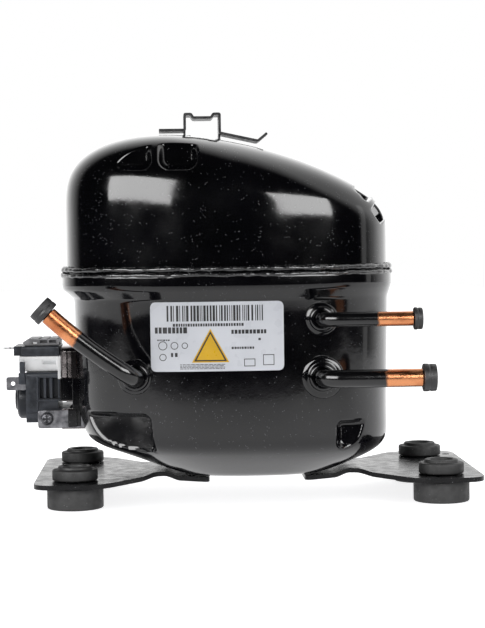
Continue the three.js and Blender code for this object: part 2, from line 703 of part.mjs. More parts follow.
// The front side has a recess with two upright ribs standing in it.
function starterBody() {
  const { left, right, halfY, bottomZ, topZ, recessDepth } = starter;
  const outline = roundedRectangle(-halfY, halfY, bottomZ, topZ, 2);
  const body = solid(carriedAlongX(outline, left, right));
  const mouth = block(left - 1, left + 3, -halfY + 3, halfY - 3, topZ - 6.5, topZ - 1.5);
  const side = block(left + 6.5, right - 1.5, -halfY - 1, -halfY + recessDepth, plugZ - 2.8,
    plugZ + 7);
  const ribs = [0, 1].map((k) => (
    block(left + 8.4 + 3 * k, left + 9.6 + 3 * k, -halfY, -halfY + recessDepth, bottomZ + 2, topZ - 1)
  ));
  return body.subtract(unionOf([socketHoles, discHole, mouth, side.subtract(unionOf(ribs))]));
}
addPart('starter_body', starterBody(), blackPlastic);

function starterHousingSolid() {
  const { left, right, halfY, bottomZ, topZ } = starterHousing;
  const body = solid(carriedAlongX(roundedRectangle(-halfY, halfY, bottomZ, topZ, 1), left, right));
  const slot = block(left + 6, right - 6, -halfY - 1, -halfY + 2, bottomZ + 2.4, bottomZ + 4.4);
  return body.subtract(slot);
}
addPart('starter_housing', starterHousingSolid(), whitePlastic);

function starterLidSolid() {
  const { left, right, halfY, bottomZ, topZ } = starterLid;
  return solid(carriedAlongX(roundedRectangle(-halfY, halfY, bottomZ, topZ, 1.2), left, right));
}
addPart('starter_lid', starterLidSolid(), blackPlastic);

function terminalStripSolid() {
  const { left, right, halfY, bottomZ, topZ } = terminalStrip;
  const body = block(left, right, -halfY, halfY, bottomZ, topZ);
  const pitch = (right - left) / 3;
  const ribs = [1, 2].map((k) => (
    block(left + k * pitch - 0.7, left + k * pitch + 0.7, -halfY - 1, halfY + 1, topZ - 2, topZ + 1)
  ));
  const slots = [-1, 0, 1].map((k) => (
    block(left - 1, left + 8, k * 7 - 2.2, k * 7 + 2.2, bottomZ + 1.4, bottomZ + 2.6)
  ));
  return body.subtract(unionOf([...ribs, ...slots]));
}
addPart('terminal_strip', terminalStripSolid(), greyPlastic);

// A 6.3 mm tab lying flat, with its hole near the free end at -X.
function spadeSolid(length) {
  const { width, thickness, holeR } = spade;
  const outline = outlineThrough([
    [-length, -width / 2 + 1], [-length + 1, -width / 2], [0, -width / 2], [0, width / 2],
    [-length + 1, width / 2], [-length, width / 2 - 1],
  ]);
  const tab = solid(raised(outline, -thickness / 2, thickness / 2));
  return tab.subtract(bar(holeR, 4, 'z', [-length + 2.6, 0, -2], 12));
}
addPart('upper_spade', spadeSolid(5.4), brightSteel, [starterLid.left - gap, 0, 70.5]);
const sideSpade = addPart('side_spade', spadeSolid(9.2), brightSteel,
  [starter.left - gap, -starter.halfY + 1.6, 54.5]);
sideSpade.rotation.x = quarter;

const protectorDisc = turned([
  [0, 0], [protector.r - 0.6, 0], [protector.r, 0.6], [protector.r, protector.height - 2.2],
  [protector.r - 2, protector.height - 0.4], [0, protector.height],
], 24);
const disc = addPart('overload_protector', protectorDisc, blackPlastic,
  [starter.left + protector.sunk - gap, 0, protector.z]);
disc.rotation.y = -quarter;

function groundTabSolid() {
  const { left, right, bottomZ, topZ, thickness } = groundTab;
  const y = -fence.halfY - gap;
  const outline = roundedRectangle(left, right, bottomZ, topZ, 1.5);
  const tab = solid(carriedAlongY(outline, y - thickness, y));
  return tab.subtract(bar(groundScrew.shankR + gap, 10, 'y', [groundScrew.x, y - 5, groundScrew.z]));
}
addPart('ground_tab', groundTabSolid().subtract(seatOnShell), zincSteel);

const screwShape = turned([
  [0, -groundScrew.shankL], [groundScrew.shankR, -groundScrew.shankL], [groundScrew.shankR, 0],
  [groundScrew.headR, 0], [groundScrew.headR, groundScrew.headH * 0.6],
  [groundScrew.headR * 0.7, groundScrew.headH], [0, groundScrew.headH],
]);
const crossRecess = unionOf([
  block(-1.9, 1.9, -0.45, 0.45, groundScrew.headH - 1.3, 5),
  block(-0.45, 0.45, -1.9, 1.9, groundScrew.headH - 1.3, 5),
]);
const screw = addPart('ground_screw', solid(screwShape).subtract(crossRecess), brightSteel,
  [groundScrew.x, -fence.halfY - 2 * gap - groundTab.thickness, groundScrew.z]);
screw.rotation.x = quarter;

// ---------------------------------------------------------------- spring-hung pump: suspension
pump.position.set(shaftX, 0, 0);

// Each spring stands on its seat and carries a spigot under the head of a stator bolt.
const boltHeadZ = stator.bottomZ - gap - bolt.headH;

function springShape() {
  const { coilR, wireR, turns, seatZ } = spring;
  const rise = boltHeadZ - seatZ - 2 * (gap + wireR);
  const points = [];
  const steps = turns * 8;
  for (let k = 0; k <= steps; k += 1) {
    const angle = turn * k / 8;
    const z = rise * k / steps;
    points.push(new THREE.Vector3(coilR * Math.cos(angle), coilR * Math.sin(angle), z));
  }
  return tubeAlong(new THREE.CatmullRomCurve3(points), wireR, steps, 4);
}
const coil = springShape();
for (const [place, sideX, sideY] of corners) {
  const at = [shaftX + sideX * bolt.x, sideY * bolt.y, spring.seatZ + gap + spring.wireR];
  addPart(`${place}_spring`, coil, brightSteel, at);
}

// ---------------------------------------------------------------- motor
function statorSolid() {
  const { half, chamfer, bottomZ, topZ, boreR } = stator;
  const cut = half - chamfer;
  const outline = outlineThrough([
    [half, -cut], [half, cut], [cut, half], [-cut, half], [-half, cut], [-half, -cut],
    [-cut, -half], [cut, -half],
  ]);
  const stack = solid(raised(outline, bottomZ, topZ));
  const holes = [bar(boreR, 80, 'z', [0, 0, 40], 28)];
  for (const [, sideX, sideY] of corners) {
    holes.push(bar(bolt.r + gap, 100, 'z', [sideX * bolt.x, sideY * bolt.y, 30], 10));
  }
  return stack.subtract(unionOf(holes)).subtract(slotBars(gap));
}

// The winding's sides, one in each slot; the slots are the same bars with the gap added.
function slotBars(grow) {
  const { slots, slotWidth, slotInnerR, slotOuterR } = winding;
  const half = slotWidth / 2 + grow;
  const bars = [];
  for (let k = 0; k < slots; k += 1) {
    const outline = outlineThrough([
      [slotInnerR - grow, -half], [slotOuterR + grow, -half], [slotOuterR + grow, half],
      [slotInnerR - grow, half],
    ]);
    const slot = raised(outline, stator.bottomZ - 2, stator.topZ + 2);
    bars.push(solid(slot.rotateZ(turn * (k + 0.5) / slots)));
  }
  return unionOf(bars);
}
addPart('stator_core', statorSolid(), lamination, [0, 0, 0], pump);

function windingShape(z0) {
  const { innerR, outerR, height } = winding;
  return turned(ringProfile([
    [innerR, z0], [outerR - 4, z0], [outerR, z0 + 4], [outerR, z0 + height - 4],
    [outerR - 4, z0 + height], [innerR, z0 + height],
  ]), 20);
}
const windingGap = gap + 0.2;
const windingRings = [stator.topZ + windingGap, stator.bottomZ - windingGap - winding.height]
  .map((z) => solid(windingShape(z)));
addPart('stator_winding', unionOf([...windingRings, slotBars(0)]), enamelledWire, [0, 0, 0], pump);

const rotorR = stator.boreR - airGap;
const rotorShape = turned(ringProfile([
  [crank.journalR + gap, stator.bottomZ - 6], [rotorR - 4, stator.bottomZ - 6],
  [rotorR, stator.bottomZ - 3], [rotorR, bearing.hubBottom - gap - 4],
  [crank.journalR + gap, bearing.hubBottom - gap - 4],
]), 28);
addPart('rotor', rotorShape, castAluminium, [0, 0, 0], pump);

const pickupShape = turned(ringProfile([
  [2, 20], [3, 20], [6.5, 32], [6.5, stator.bottomZ - 12], [5.6, stator.bottomZ - 12], [5.6, 33],
]), 14);
addPart('oil_pickup', pickupShape, zincSteel, [0, 0, 0], pump);

// ---------------------------------------------------------------- crankshaft, rod and piston
function crankshaftSolid() {
  const { journalR, radius, webTop, webBottom, sweepR, pinR } = crank;
  const journalBottom = stator.bottomZ - 12 + gap;
  const journal = bar(journalR, webBottom - journalBottom, 'z', [0, 0, journalBottom], 24);
  const web = bar(sweepR - 1.5, webTop - 1.5 - webBottom, 'z', [0, 0, webBottom], 28);
  const waist = [-1, 1].map((side) => (
    block(-5, 40, side > 0 ? 13 : -40, side > 0 ? 40 : -13, 100, 140)
  ));
  const stub = bar(pinR, webTop - webBottom, 'z', [radius, 0, webBottom], 24);
  const gallery = bar(2.4, webBottom - journalBottom - 10, 'z', [1.5, 0, journalBottom - 1], 12);
  return unionOf([web.subtract(unionOf(waist)), journal, stub]).subtract(gallery);
}
addPart('crankshaft', crankshaftSolid(), castIron, [0, 0, 0], pump);

const washerShape = turned(ringProfile([
  [crank.journalR + gap, bearing.plateTop + gap], [12.5, bearing.plateTop + gap],
  [12.5, crank.webBottom - gap], [crank.journalR + gap, crank.webBottom - gap],
]), 20);
addPart('thrust_washer', washerShape, brightSteel, [0, 0, 0], pump);

// At rest the crank pin points away from the head, so the piston is at the bottom of its stroke.
const wristX = crank.radius - rodLength;
const pinBottomZ = crank.webTop + gap;
const bigEndZ = cylinderZ - bigEnd.height / 2;

function connectingRodSolid() {
  const wide = bar(bigEnd.r, bigEnd.height, 'z', [crank.radius, 0, bigEndZ], 24);
  const narrow = bar(smallEnd.r, smallEnd.height, 'z',
    [wristX, 0, cylinderZ - smallEnd.height / 2], 18);
  const shank = block(wristX + 3, crank.radius - 8, -3.6, 3.6, cylinderZ - 3.4, cylinderZ + 3.4);
  const eyes = [
    bar(crank.pinR + gap, 40, 'z', [crank.radius, 0, cylinderZ - 20], 24),
    bar(smallEnd.pinR + gap, 40, 'z', [wristX, 0, cylinderZ - 20], 20),
  ];
  return unionOf([wide, narrow, shank]).subtract(unionOf(eyes));
}
addPart('connecting_rod', connectingRodSolid(), castAluminium, [0, 0, 0], pump);

const crankPin = bar(crank.pinR, cylinderZ + bigEnd.height / 2 + 1 - pinBottomZ, 'z',
  [0, 0, 0], 24);
addPart('crank_pin', crankPin, castIron, [crank.radius, 0, pinBottomZ], pump);

const pistonR = bore.r - gap;
const wristPinLength = 2 * Math.sqrt(pistonR ** 2 - smallEnd.pinR ** 2) - 2;
const wristPinShape = bar(smallEnd.pinR, wristPinLength, 'z',
  [wristX, 0, cylinderZ - wristPinLength / 2], 20);
addPart('wrist_pin', wristPinShape, brightSteel, [0, 0, 0], pump);

function pistonSolid() {
  const length = piston.crown + piston.skirt;
  const body = bar(pistonR, length, 'x', [wristX - piston.crown, 0, cylinderZ], 28);
  const slot = block(wristX - smallEnd.r - gap, wristX + 20, -piston.slotHalfY, piston.slotHalfY,
    cylinderZ - piston.slotHalfZ, cylinderZ + piston.slotHalfZ);
  const eye = bar(smallEnd.pinR + gap, 40, 'z', [wristX, 0, cylinderZ - 20], 20);
  const grooveX = wristX - piston.crown + 3;
  const groove = bar(pistonR + 1, 0.8, 'x', [grooveX, 0, cylinderZ], 28)
    .subtract(bar(pistonR - 0.6, 4, 'x', [grooveX - 1, 0, cylinderZ], 28));
  return body.subtract(unionOf([slot, eye, groove]));
}
addPart('piston', pistonSolid(), castIron, [0, 0, 0], pump);

// ---------------------------------------------------------------- cylinder block
// The discharge chamber is cast with the block, beside the cylinder.
const chamberSpot = [-12, -32, bearing.plateTop - 3];

function cylinderBlockSolid() {
  const { hubR, hubBottom, plateBottom, plateTop } = bearing;
  const reach = 46;
  const frame = solid(raised(roundedRectangle(-reach, reach, -reach, reach, 8), plateBottom,
    plateTop));
  const windows = [
    block(20, 36, -30, 30, 100, 120), block(-36, -20, -36, -22, 100, 120),
    block(-36, -20, 22, 36, 100, 120),
  ];
  const legs = corners.map(([, sideX, sideY]) => {
    const spot = [sideX * bolt.x, sideY * bolt.y, stator.topZ + gap];
    return bar(bolt.legR, plateBottom + 1 - stator.topZ - gap, 'z', spot, 10);
  });
  const hub = bar(hubR, plateTop - hubBottom, 'z', [0, 0, hubBottom], 24);
  const barrel = bar(bore.r + 6.5, bore.end - bore.start, 'x', [-bore.end, 0, cylinderZ], 28);
  const saddle = block(-bore.end, -bore.start, -15, 15, plateTop - 3, cylinderZ);
  const face = solid(carriedAlongX(roundedRectangle(-valvePlate.half, valvePlate.half,
    cylinderZ - valvePlate.half, cylinderZ + valvePlate.half, valvePlate.cornerR),
  -bore.end, -bore.end + 7));
  const cuts = [
    bar(crank.journalR + gap, 60, 'z', [0, 0, 80], 24),
    bar(bore.r, 60, 'x', [-bore.end - 10, 0, cylinderZ], 28),
    bar(crank.sweepR + 1, 40, 'z', [0, 0, plateTop], 28),
    ...corners.map(([, sideX, sideY]) => (
      bar(bolt.r + gap, 80, 'z', [sideX * bolt.x, sideY * bolt.y, 60], 10)
    )),
    ...corners.map(([, sideY, sideZ]) => (
      bar(headBolt.r + gap, 9, 'x',
        [-bore.end - 1, sideY * headBolt.pitch, cylinderZ + sideZ * headBolt.pitch], 8)
    )),
  ];
  const chamber = solid(turned([[0, 0], [11, 0], [11, 25], [8, 30], [0, 31]], 12)
    .translate(...chamberSpot));
  return unionOf([frame, ...legs, hub, barrel, saddle, face, chamber])
    .subtract(unionOf([...windows, ...cuts]));
}
addPart('cylinder_block', cylinderBlockSolid(), castIron, [0, 0, 0], pump);

const boltTop = bearing.plateTop - stator.bottomZ + gap; // level with the top of the plate
const spigotR = spring.studR;
const statorBoltShape = turned([
  [0, -bolt.headH - spring.studHeight], [spigotR - 1, -bolt.headH - spring.studHeight],
  [spigotR, -bolt.headH - spring.studHeight + 1], [spigotR, -bolt.headH],
  [bolt.headR, -bolt.headH], [bolt.headR, 0], [bolt.r, 0], [bolt.r, boltTop], [0, boltTop],
], 12);
for (const [place, sideX, sideY] of corners) {
  const at = [sideX * bolt.x, sideY * bolt.y, stator.bottomZ - gap];
  addPart(`${place}_stator_bolt`, statorBoltShape, zincSteel, at, pump);
}

// ---------------------------------------------------------------- valves and head
const gasketX = -bore.end - gap - gasket;
const plateX = gasketX - gap - valvePlate.thickness;
const headX = plateX - gap - head.depth;
const portY = 5.5;

function facePlate(x0, thickness, opening) {
  const outline = roundedRectangle(-valvePlate.half, valvePlate.half,
    cylinderZ - valvePlate.half, cylinderZ + valvePlate.half, valvePlate.cornerR);
  const holes = corners.map(([, sideY, sideZ]) => (
    bar(headBolt.r + gap, 20, 'x',
      [x0 - 5, sideY * headBolt.pitch, cylinderZ + sideZ * headBolt.pitch], 8)
  ));
  return solid(carriedAlongX(outline, x0, x0 + thickness)).subtract(unionOf([...holes, ...opening]));
}
const boreOpening = bar(bore.r + 0.5, 20, 'x', [gasketX - 5, 0, cylinderZ], 28);
addPart('head_gasket', facePlate(gasketX, gasket, [boreOpening]), blackPlastic, [0, 0, 0], pump);

const ports = [-1, 1].map((side) => bar(portR, 20, 'x', [plateX - 5, side * portY, cylinderZ + 5], 12));
addPart('valve_plate', facePlate(plateX, valvePlate.thickness, ports), brightSteel,
  [0, 0, 0], pump);

// Each reed is a flat strip hinged at its lower end, resting on the valve plate over its port.
function reedSolid(x, y) {
  const { thickness, halfWidth, length } = reed;
  const outline = roundedRectangle(y - halfWidth, y + halfWidth, cylinderZ - length / 2,
    cylinderZ + length / 2, halfWidth * 0.9);
  return solid(carriedAlongX(outline, x, x + thickness));
}
const suctionReedX = plateX + valvePlate.thickness + gap;
const dischargeReedX = plateX - gap - reed.thickness;
addPart('suction_reed', reedSolid(suctionReedX, portY), brightSteel, [0, 0, 0], pump);
addPart('discharge_reed', reedSolid(dischargeReedX, -portY), brightSteel, [0, 0, 0], pump);

function headSolid() {
  const inner = valvePlate.half - head.wall;
  const rooms = [
    block(plateX - gap - 8, plateX, -inner + 2, -1.5, cylinderZ - 12, cylinderZ + 12),
    block(plateX - gap - 8, plateX, 1.5, inner - 2, cylinderZ - 12, cylinderZ + 12),
  ];
  return facePlate(headX, head.depth, rooms);
}
addPart('cylinder_head', headSolid(), castAluminium, [0, 0, 0], pump);

const headBoltLength = head.depth + 2 * gap + valvePlate.thickness + gasket + 4;
const headBoltShape = turned([
  [0, -headBoltLength], [headBolt.r, -headBoltLength], [headBolt.r, gap], [headBolt.headR, gap],
  [headBolt.headR, headBolt.headH + gap], [0, headBolt.headH + gap],
], 12);
const headBoltNames = ['lower_front', 'lower_rear', 'upper_front', 'upper_rear'];
const headBoltSpots = [[-1, -1], [1, -1], [-1, 1], [1, 1]];
headBoltSpots.forEach(([sideY, sideZ], k) => {
  const at = [headX, sideY * headBolt.pitch, cylinderZ + sideZ * headBolt.pitch];
  addPart(`${headBoltNames[k]}_head_bolt`, headBoltShape, zincSteel, at, pump).rotation.y = -quarter;
});

// ---------------------------------------------------------------- mufflers and discharge line
function mufflerSolid() {
  const { left, right, nearY, farY, cornerR } = muffler;
  const outline = roundedRectangle(left, right, nearY, farY, cornerR);
  const body = solid(raised(outline, bearing.plateTop + gap, cylinderZ + 10.5));
  const neck = block(left, left + muffler.neck, valvePlate.half + 0.5, nearY + cornerR,
    cylinderZ - 7.5, cylinderZ + 2.5);
  return body.add(neck);
}
addPart('suction_muffler', mufflerSolid(), whitePlastic, [0, 0, 0], pump);

// The shock loop wraps from the muffler round the front of the motor to the discharge connector.
const lineR = 2.4;
const lineY = -lower.halfY + 10.6;
const linePoints = [
  [-25.8, -33, 128], [-28, -42, 126], [-22, lineY + 3.1, 116], [-4, lineY, 106],
  [16, lineY - 0.2, 101], [30, lineY, 97], [34.8, lineY + 0.7, 91],
  [connectors.discharge.x - shaftX, tubeEntryY + 2, connectors.discharge.z + 0.2],
];
const linePath = new THREE.CatmullRomCurve3(linePoints.map((point) => new THREE.Vector3(...point)));
addPart('discharge_line', tubeAlong(linePath, lineR, 22, 8), copper, [0, 0, 0], pump);

// ---------------------------------------------------------------- frame of the whole
// The origin is on the floor under the middle of the object's box.
const box = new THREE.Box3().setFromObject(compressor);
const middle = box.getCenter(new THREE.Vector3());
compressor.position.set(-middle.x, -middle.y, -box.min.z);
compressor.updateMatrixWorld(true);

export default compressor;
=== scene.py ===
import json
import math
import random

import bmesh
import bpy
from mathutils import Matrix, Vector, noise

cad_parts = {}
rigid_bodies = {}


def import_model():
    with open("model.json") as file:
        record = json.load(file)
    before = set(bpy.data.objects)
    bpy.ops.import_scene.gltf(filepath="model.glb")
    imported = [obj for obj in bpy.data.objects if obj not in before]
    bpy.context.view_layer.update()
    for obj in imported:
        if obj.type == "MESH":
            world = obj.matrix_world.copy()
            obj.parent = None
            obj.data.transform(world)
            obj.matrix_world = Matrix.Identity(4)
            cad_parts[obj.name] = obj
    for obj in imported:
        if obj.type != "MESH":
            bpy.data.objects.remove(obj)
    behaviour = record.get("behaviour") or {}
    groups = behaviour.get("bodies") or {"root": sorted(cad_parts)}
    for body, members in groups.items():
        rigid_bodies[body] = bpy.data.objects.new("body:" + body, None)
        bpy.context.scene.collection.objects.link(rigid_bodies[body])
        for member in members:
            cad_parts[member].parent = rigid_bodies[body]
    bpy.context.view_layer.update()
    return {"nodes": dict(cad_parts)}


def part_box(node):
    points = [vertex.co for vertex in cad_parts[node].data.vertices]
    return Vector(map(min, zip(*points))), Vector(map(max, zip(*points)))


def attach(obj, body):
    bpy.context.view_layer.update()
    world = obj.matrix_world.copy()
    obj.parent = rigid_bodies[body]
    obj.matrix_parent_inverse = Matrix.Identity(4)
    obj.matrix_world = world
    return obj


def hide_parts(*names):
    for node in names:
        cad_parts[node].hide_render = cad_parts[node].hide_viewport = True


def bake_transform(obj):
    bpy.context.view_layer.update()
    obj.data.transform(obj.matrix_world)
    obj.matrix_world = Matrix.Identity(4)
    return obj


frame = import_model()
random.seed(11)

# Sizes are in millimetres in a frame whose origin is on the floor, in the middle of the four feet.
MM = 0.001
TURN = 2 * math.pi


def middle_of_feet():
    boxes = [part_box(f"{side}_{end}_grommet") for side in ("left", "right") for end in ("front", "rear")]
    middle = sum((low + high for low, high in boxes), Vector()) / (2 * len(boxes))
    return Vector((middle.x, middle.y, 0))


ORIGIN = middle_of_feet()


def place(point):
    return Vector(point) * MM + ORIGIN


# ---------- camera
def make_camera():
    """The photograph's point of view: a long lens in front, a little above the middle."""
    yaw, pitch, roll = (math.radians(a) for a in (2.4, 2.25, 0.8))
    ahead = Vector((math.sin(yaw) * math.cos(pitch), math.cos(yaw) * math.cos(pitch), -math.sin(pitch)))
    level = Vector((math.cos(yaw), -math.sin(yaw), 0))
    rise = level.cross(ahead)
    right = level * math.cos(roll) - rise * math.sin(roll)
    up = right.cross(ahead)
    data = bpy.data.cameras.new("camera")
    data.lens = 97.97
    data.sensor_width = 36
    data.clip_end = 50
    camera = bpy.data.objects.new("camera", data)
    turn = Matrix((right, up, -ahead)).transposed()
    camera.matrix_world = Matrix.Translation(place((-39.65, -823, 119.2))) @ turn.to_4x4()
    bpy.context.scene.collection.objects.link(camera)
    bpy.context.scene.camera = camera


# ---------- materials
class Nodes:
    """The nodes of a material or of the world. An input is named, or numbered as i0, i1 and so on."""

    def __init__(self, tree):
        self.tree = tree

    def node(self, kind, settings=(), **inputs):
        made = self.tree.nodes.new(kind)
        for key, value in dict(settings).items():
            setattr(made, key, value)
        for key, value in inputs.items():
            key = int(key[1:]) if key[1:].isdigit() else key.replace("_", " ")
            self.put(made.inputs[key], value)
        return made

    def put(self, socket, value):
        if isinstance(value, bpy.types.NodeSocket):
            self.tree.links.new(value, socket)
        else:
            socket.default_value = value

    def remap(self, value, low, high, to_low=0.0, to_high=1.0):
        return self.node("ShaderNodeMapRange", i0=value, i1=low, i2=high, i3=to_low, i4=to_high).outputs[0]

    def sum(self, kind, a, b):
        return self.node("ShaderNodeMath", {"operation": kind}, i0=a, i1=b).outputs[0]

    def mix(self, share, a, b):
        return self.node("ShaderNodeMix", {"data_type": "RGBA"}, i0=share, i6=a, i7=b).outputs[2]

    def blend(self, share, a, b):
        return self.node("ShaderNodeMix", {"data_type": "FLOAT"}, i0=share, i2=a, i3=b).outputs[0]


class Shade(Nodes):
    """A Principled material and the few nodes that most of the finishes here share."""

    def __init__(self, name):
        self.material = bpy.data.materials.new(name)
        self.material.use_nodes = True
        super().__init__(self.material.node_tree)
        self.skin = self.tree.nodes["Principled BSDF"]
        self.spot = self.node("ShaderNodeTexCoord").outputs["Object"]

    def noise(self, scale, detail=3.0, stretch=(1, 1, 1)):
        at = self.node("ShaderNodeVectorMath", {"operation": "MULTIPLY"}, i0=self.spot, i1=stretch).outputs[0]
        return self.node("ShaderNodeTexNoise", i0=at, Scale=scale, Detail=detail).outputs[0]

    def bumps(self, layers):
        """Each layer is (height value, depth in millimetres)."""
        normal = None
        for height, depth in layers:
            bump = self.node("ShaderNodeBump", Height=height, Distance=depth * MM, Strength=1.0)
            if normal is not None:
                self.put(bump.inputs["Normal"], normal)
            normal = bump.outputs[0]
        self.put(self.skin.inputs["Normal"], normal)

    def set(self, **inputs):
        for key, value in inputs.items():
            self.put(self.skin.inputs[key.replace("_", " ")], value)


def rgb(*values):
    return (*values, 1.0)


def finish(name, dark, light, rough, metal=0.0, mottle=45, grain=(), specks=None, worn=None, **fixed):
    """A finish that varies between two colours and two roughnesses, with layers of grain, and
    perhaps a scatter of small specks and paler worn edges. Grain is (scale, depth in mm, stretch)."""
    s = Shade(name)
    patches = s.remap(s.noise(mottle, 4), 0.35, 0.65)
    colour = s.mix(patches, rgb(*dark), rgb(*light))
    gloss = s.remap(s.noise(mottle * 3.1, 3), 0.3, 0.7, *rough)
    if specks:
        scale, share, tint, dull = specks
        cells = s.node("ShaderNodeTexVoronoi", Vector=s.spot, Scale=scale)
        near = s.remap(cells.outputs["Distance"], 0.10, 0.16, 1, 0)
        some = s.sum("GREATER_THAN", s.noise(scale * 0.31, 2), share)
        seen = s.sum("MULTIPLY", near, some)
        colour = s.mix(seen, colour, rgb(*tint))
        gloss = s.blend(seen, gloss, dull)
    if worn:
        edges = s.node("ShaderNodeNewGeometry").outputs["Pointiness"]
        rub = s.remap(s.sum("ADD", edges, s.remap(s.noise(400), 0.3, 0.7, -0.02, 0.02)), 0.53, 0.58)
        colour = s.mix(s.sum("MULTIPLY", rub, worn[3]), colour, rgb(*worn[:3]))
    s.set(Base_Color=colour, Roughness=gloss, Metallic=metal, **fixed)
    s.bumps([(s.noise(scale, 2, *stretch), depth) for scale, depth, *stretch in grain])
    return s.material


black_paint = finish(
    "black_paint", (0.0012, 0.0012, 0.0018), (0.0028, 0.0027, 0.004), (0.07, 0.14), mottle=30,
    grain=[(120, 0.035), (900, 0.006)], specks=(1100, 0.57, (0.22, 0.22, 0.24), 0.5), IOR=1.47,
)
bead_paint = finish(
    "bead_paint", (0.002, 0.002, 0.003), (0.012, 0.012, 0.014), (0.12, 0.3), mottle=260,
    grain=[(300, 0.3), (1200, 0.06)], specks=(800, 0.56, (0.35, 0.35, 0.37), 0.4), IOR=1.6,
)
bracket_paint = finish(
    "bracket_paint", (0.003, 0.003, 0.004), (0.006, 0.006, 0.007), (0.2, 0.34), mottle=70,
    grain=[(200, 0.02), (1300, 0.006)], specks=(700, 0.55, (0.2, 0.2, 0.21), 0.6), IOR=1.27,
)
black_rubber = finish(
    "black_rubber", (0.006, 0.006, 0.0065), (0.015, 0.015, 0.016), (0.5, 0.75), mottle=120,
    grain=[(700, 0.06), (2400, 0.03)], specks=(600, 0.54, (0.11, 0.11, 0.11), 0.9),
)
cap_rubber = finish(
    "cap_rubber", (0.006, 0.006, 0.007), (0.012, 0.012, 0.014), (0.4, 0.6), mottle=160,
    grain=[(900, 0.03)], worn=(0.07, 0.07, 0.075, 0.5),
)
black_plastic = finish(
    "black_plastic", (0.006, 0.008, 0.013), (0.012, 0.015, 0.022), (0.3, 0.45), mottle=140,
    grain=[(1600, 0.02)], worn=(0.08, 0.09, 0.11, 0.5), IOR=1.33,
)
# The white plastic also glows faintly (emission strength 0.05): a painted glow that brightens every white
# part without any lamp.
white_plastic = finish(
    "white_plastic", (0.82, 0.83, 0.84), (0.9, 0.91, 0.92), (0.35, 0.5), mottle=110,
    grain=[(1200, 0.015)], worn=(0.95, 0.95, 0.95, 0.4),
    Emission_Color=(1, 1, 1, 1), Emission_Strength=0.05,
)
grey_plastic = finish(
    "grey_plastic", (0.10, 0.10, 0.11), (0.17, 0.17, 0.18), (0.4, 0.55), mottle=150,
    grain=[(1400, 0.03)], worn=(0.4, 0.4, 0.42, 0.5),
)
zinc_steel = finish(
    "zinc_steel", (0.30, 0.30, 0.31), (0.48, 0.48, 0.5), (0.24, 0.42), metal=1.0, mottle=130,
    grain=[(500, 0.02, (1, 8, 1)), (1800, 0.01)],
)
bright_steel = finish(
    "bright_steel", (0.42, 0.42, 0.43), (0.6, 0.6, 0.61), (0.2, 0.36), metal=1.0, mottle=180,
    grain=[(900, 0.012, (1, 6, 1))],
)
dark_steel = finish(
    "dark_steel", (0.16, 0.14, 0.14), (0.33, 0.30, 0.30), (0.12, 0.26), metal=1.0, mottle=60,
    grain=[(300, 0.02, (1, 1, 6))],
)
cast_iron = finish(
    "cast_iron", (0.09, 0.09, 0.095), (0.17, 0.17, 0.175), (0.42, 0.62), metal=0.9, mottle=200,
    grain=[(900, 0.12), (2600, 0.05)], worn=(0.45, 0.45, 0.46, 0.6),
)
cast_aluminium = finish(
    "cast_aluminium", (0.42, 0.42, 0.43), (0.6, 0.6, 0.61), (0.34, 0.5), metal=1.0, mottle=160,
    grain=[(1100, 0.05)],
)
lamination = finish(
    "lamination", (0.13, 0.13, 0.15), (0.25, 0.25, 0.27), (0.35, 0.5), metal=0.9, mottle=90,
    grain=[(60, 0.3, (0.05, 0.05, 25))],
)
enamelled_wire = finish(
    "enamelled_wire", (0.20, 0.06, 0.025), (0.45, 0.16, 0.06), (0.2, 0.34), metal=0.7, mottle=220,
    grain=[(500, 0.35, (1, 1, 3.5)), (1600, 0.06)],
)
gasket_sheet = finish(
    "gasket_sheet", (0.012, 0.012, 0.012), (0.03, 0.03, 0.03), (0.6, 0.8), mottle=300,
    grain=[(2000, 0.03)],
)
label_film = finish(
    "label_film", (0.66, 0.68, 0.73), (0.72, 0.74, 0.79), (0.25, 0.35), mottle=50,
    grain=[(90, 0.02), (1400, 0.004)],
)
label_ink = finish(
    "label_ink", (0.012, 0.012, 0.014), (0.03, 0.03, 0.032), (0.28, 0.4), mottle=300,
    grain=[(1400, 0.004)],
)
label_yellow = finish(
    "label_yellow", (0.70, 0.40, 0.008), (0.78, 0.46, 0.012), (0.25, 0.36), mottle=120,
    grain=[(1400, 0.004)],
)
dull_zinc = finish(
    "dull_zinc", (0.045, 0.045, 0.05), (0.11, 0.11, 0.12), (0.28, 0.44), metal=0.8, mottle=150,
    grain=[(900, 0.03)], worn=(0.4, 0.4, 0.42, 0.6),
)
clip_steel = finish(
    "clip_steel", (0.008, 0.008, 0.009), (0.022, 0.022, 0.024), (0.3, 0.45), metal=0.3, mottle=150,
    grain=[(900, 0.03)], specks=(900, 0.6, (0.2, 0.2, 0.21), 0.5),
)
cup_steel = finish(
    "cup_steel", (0.2, 0.2, 0.21), (0.34, 0.34, 0.35), (0.3, 0.45), metal=1.0, mottle=160,
    grain=[(900, 0.03)],
)


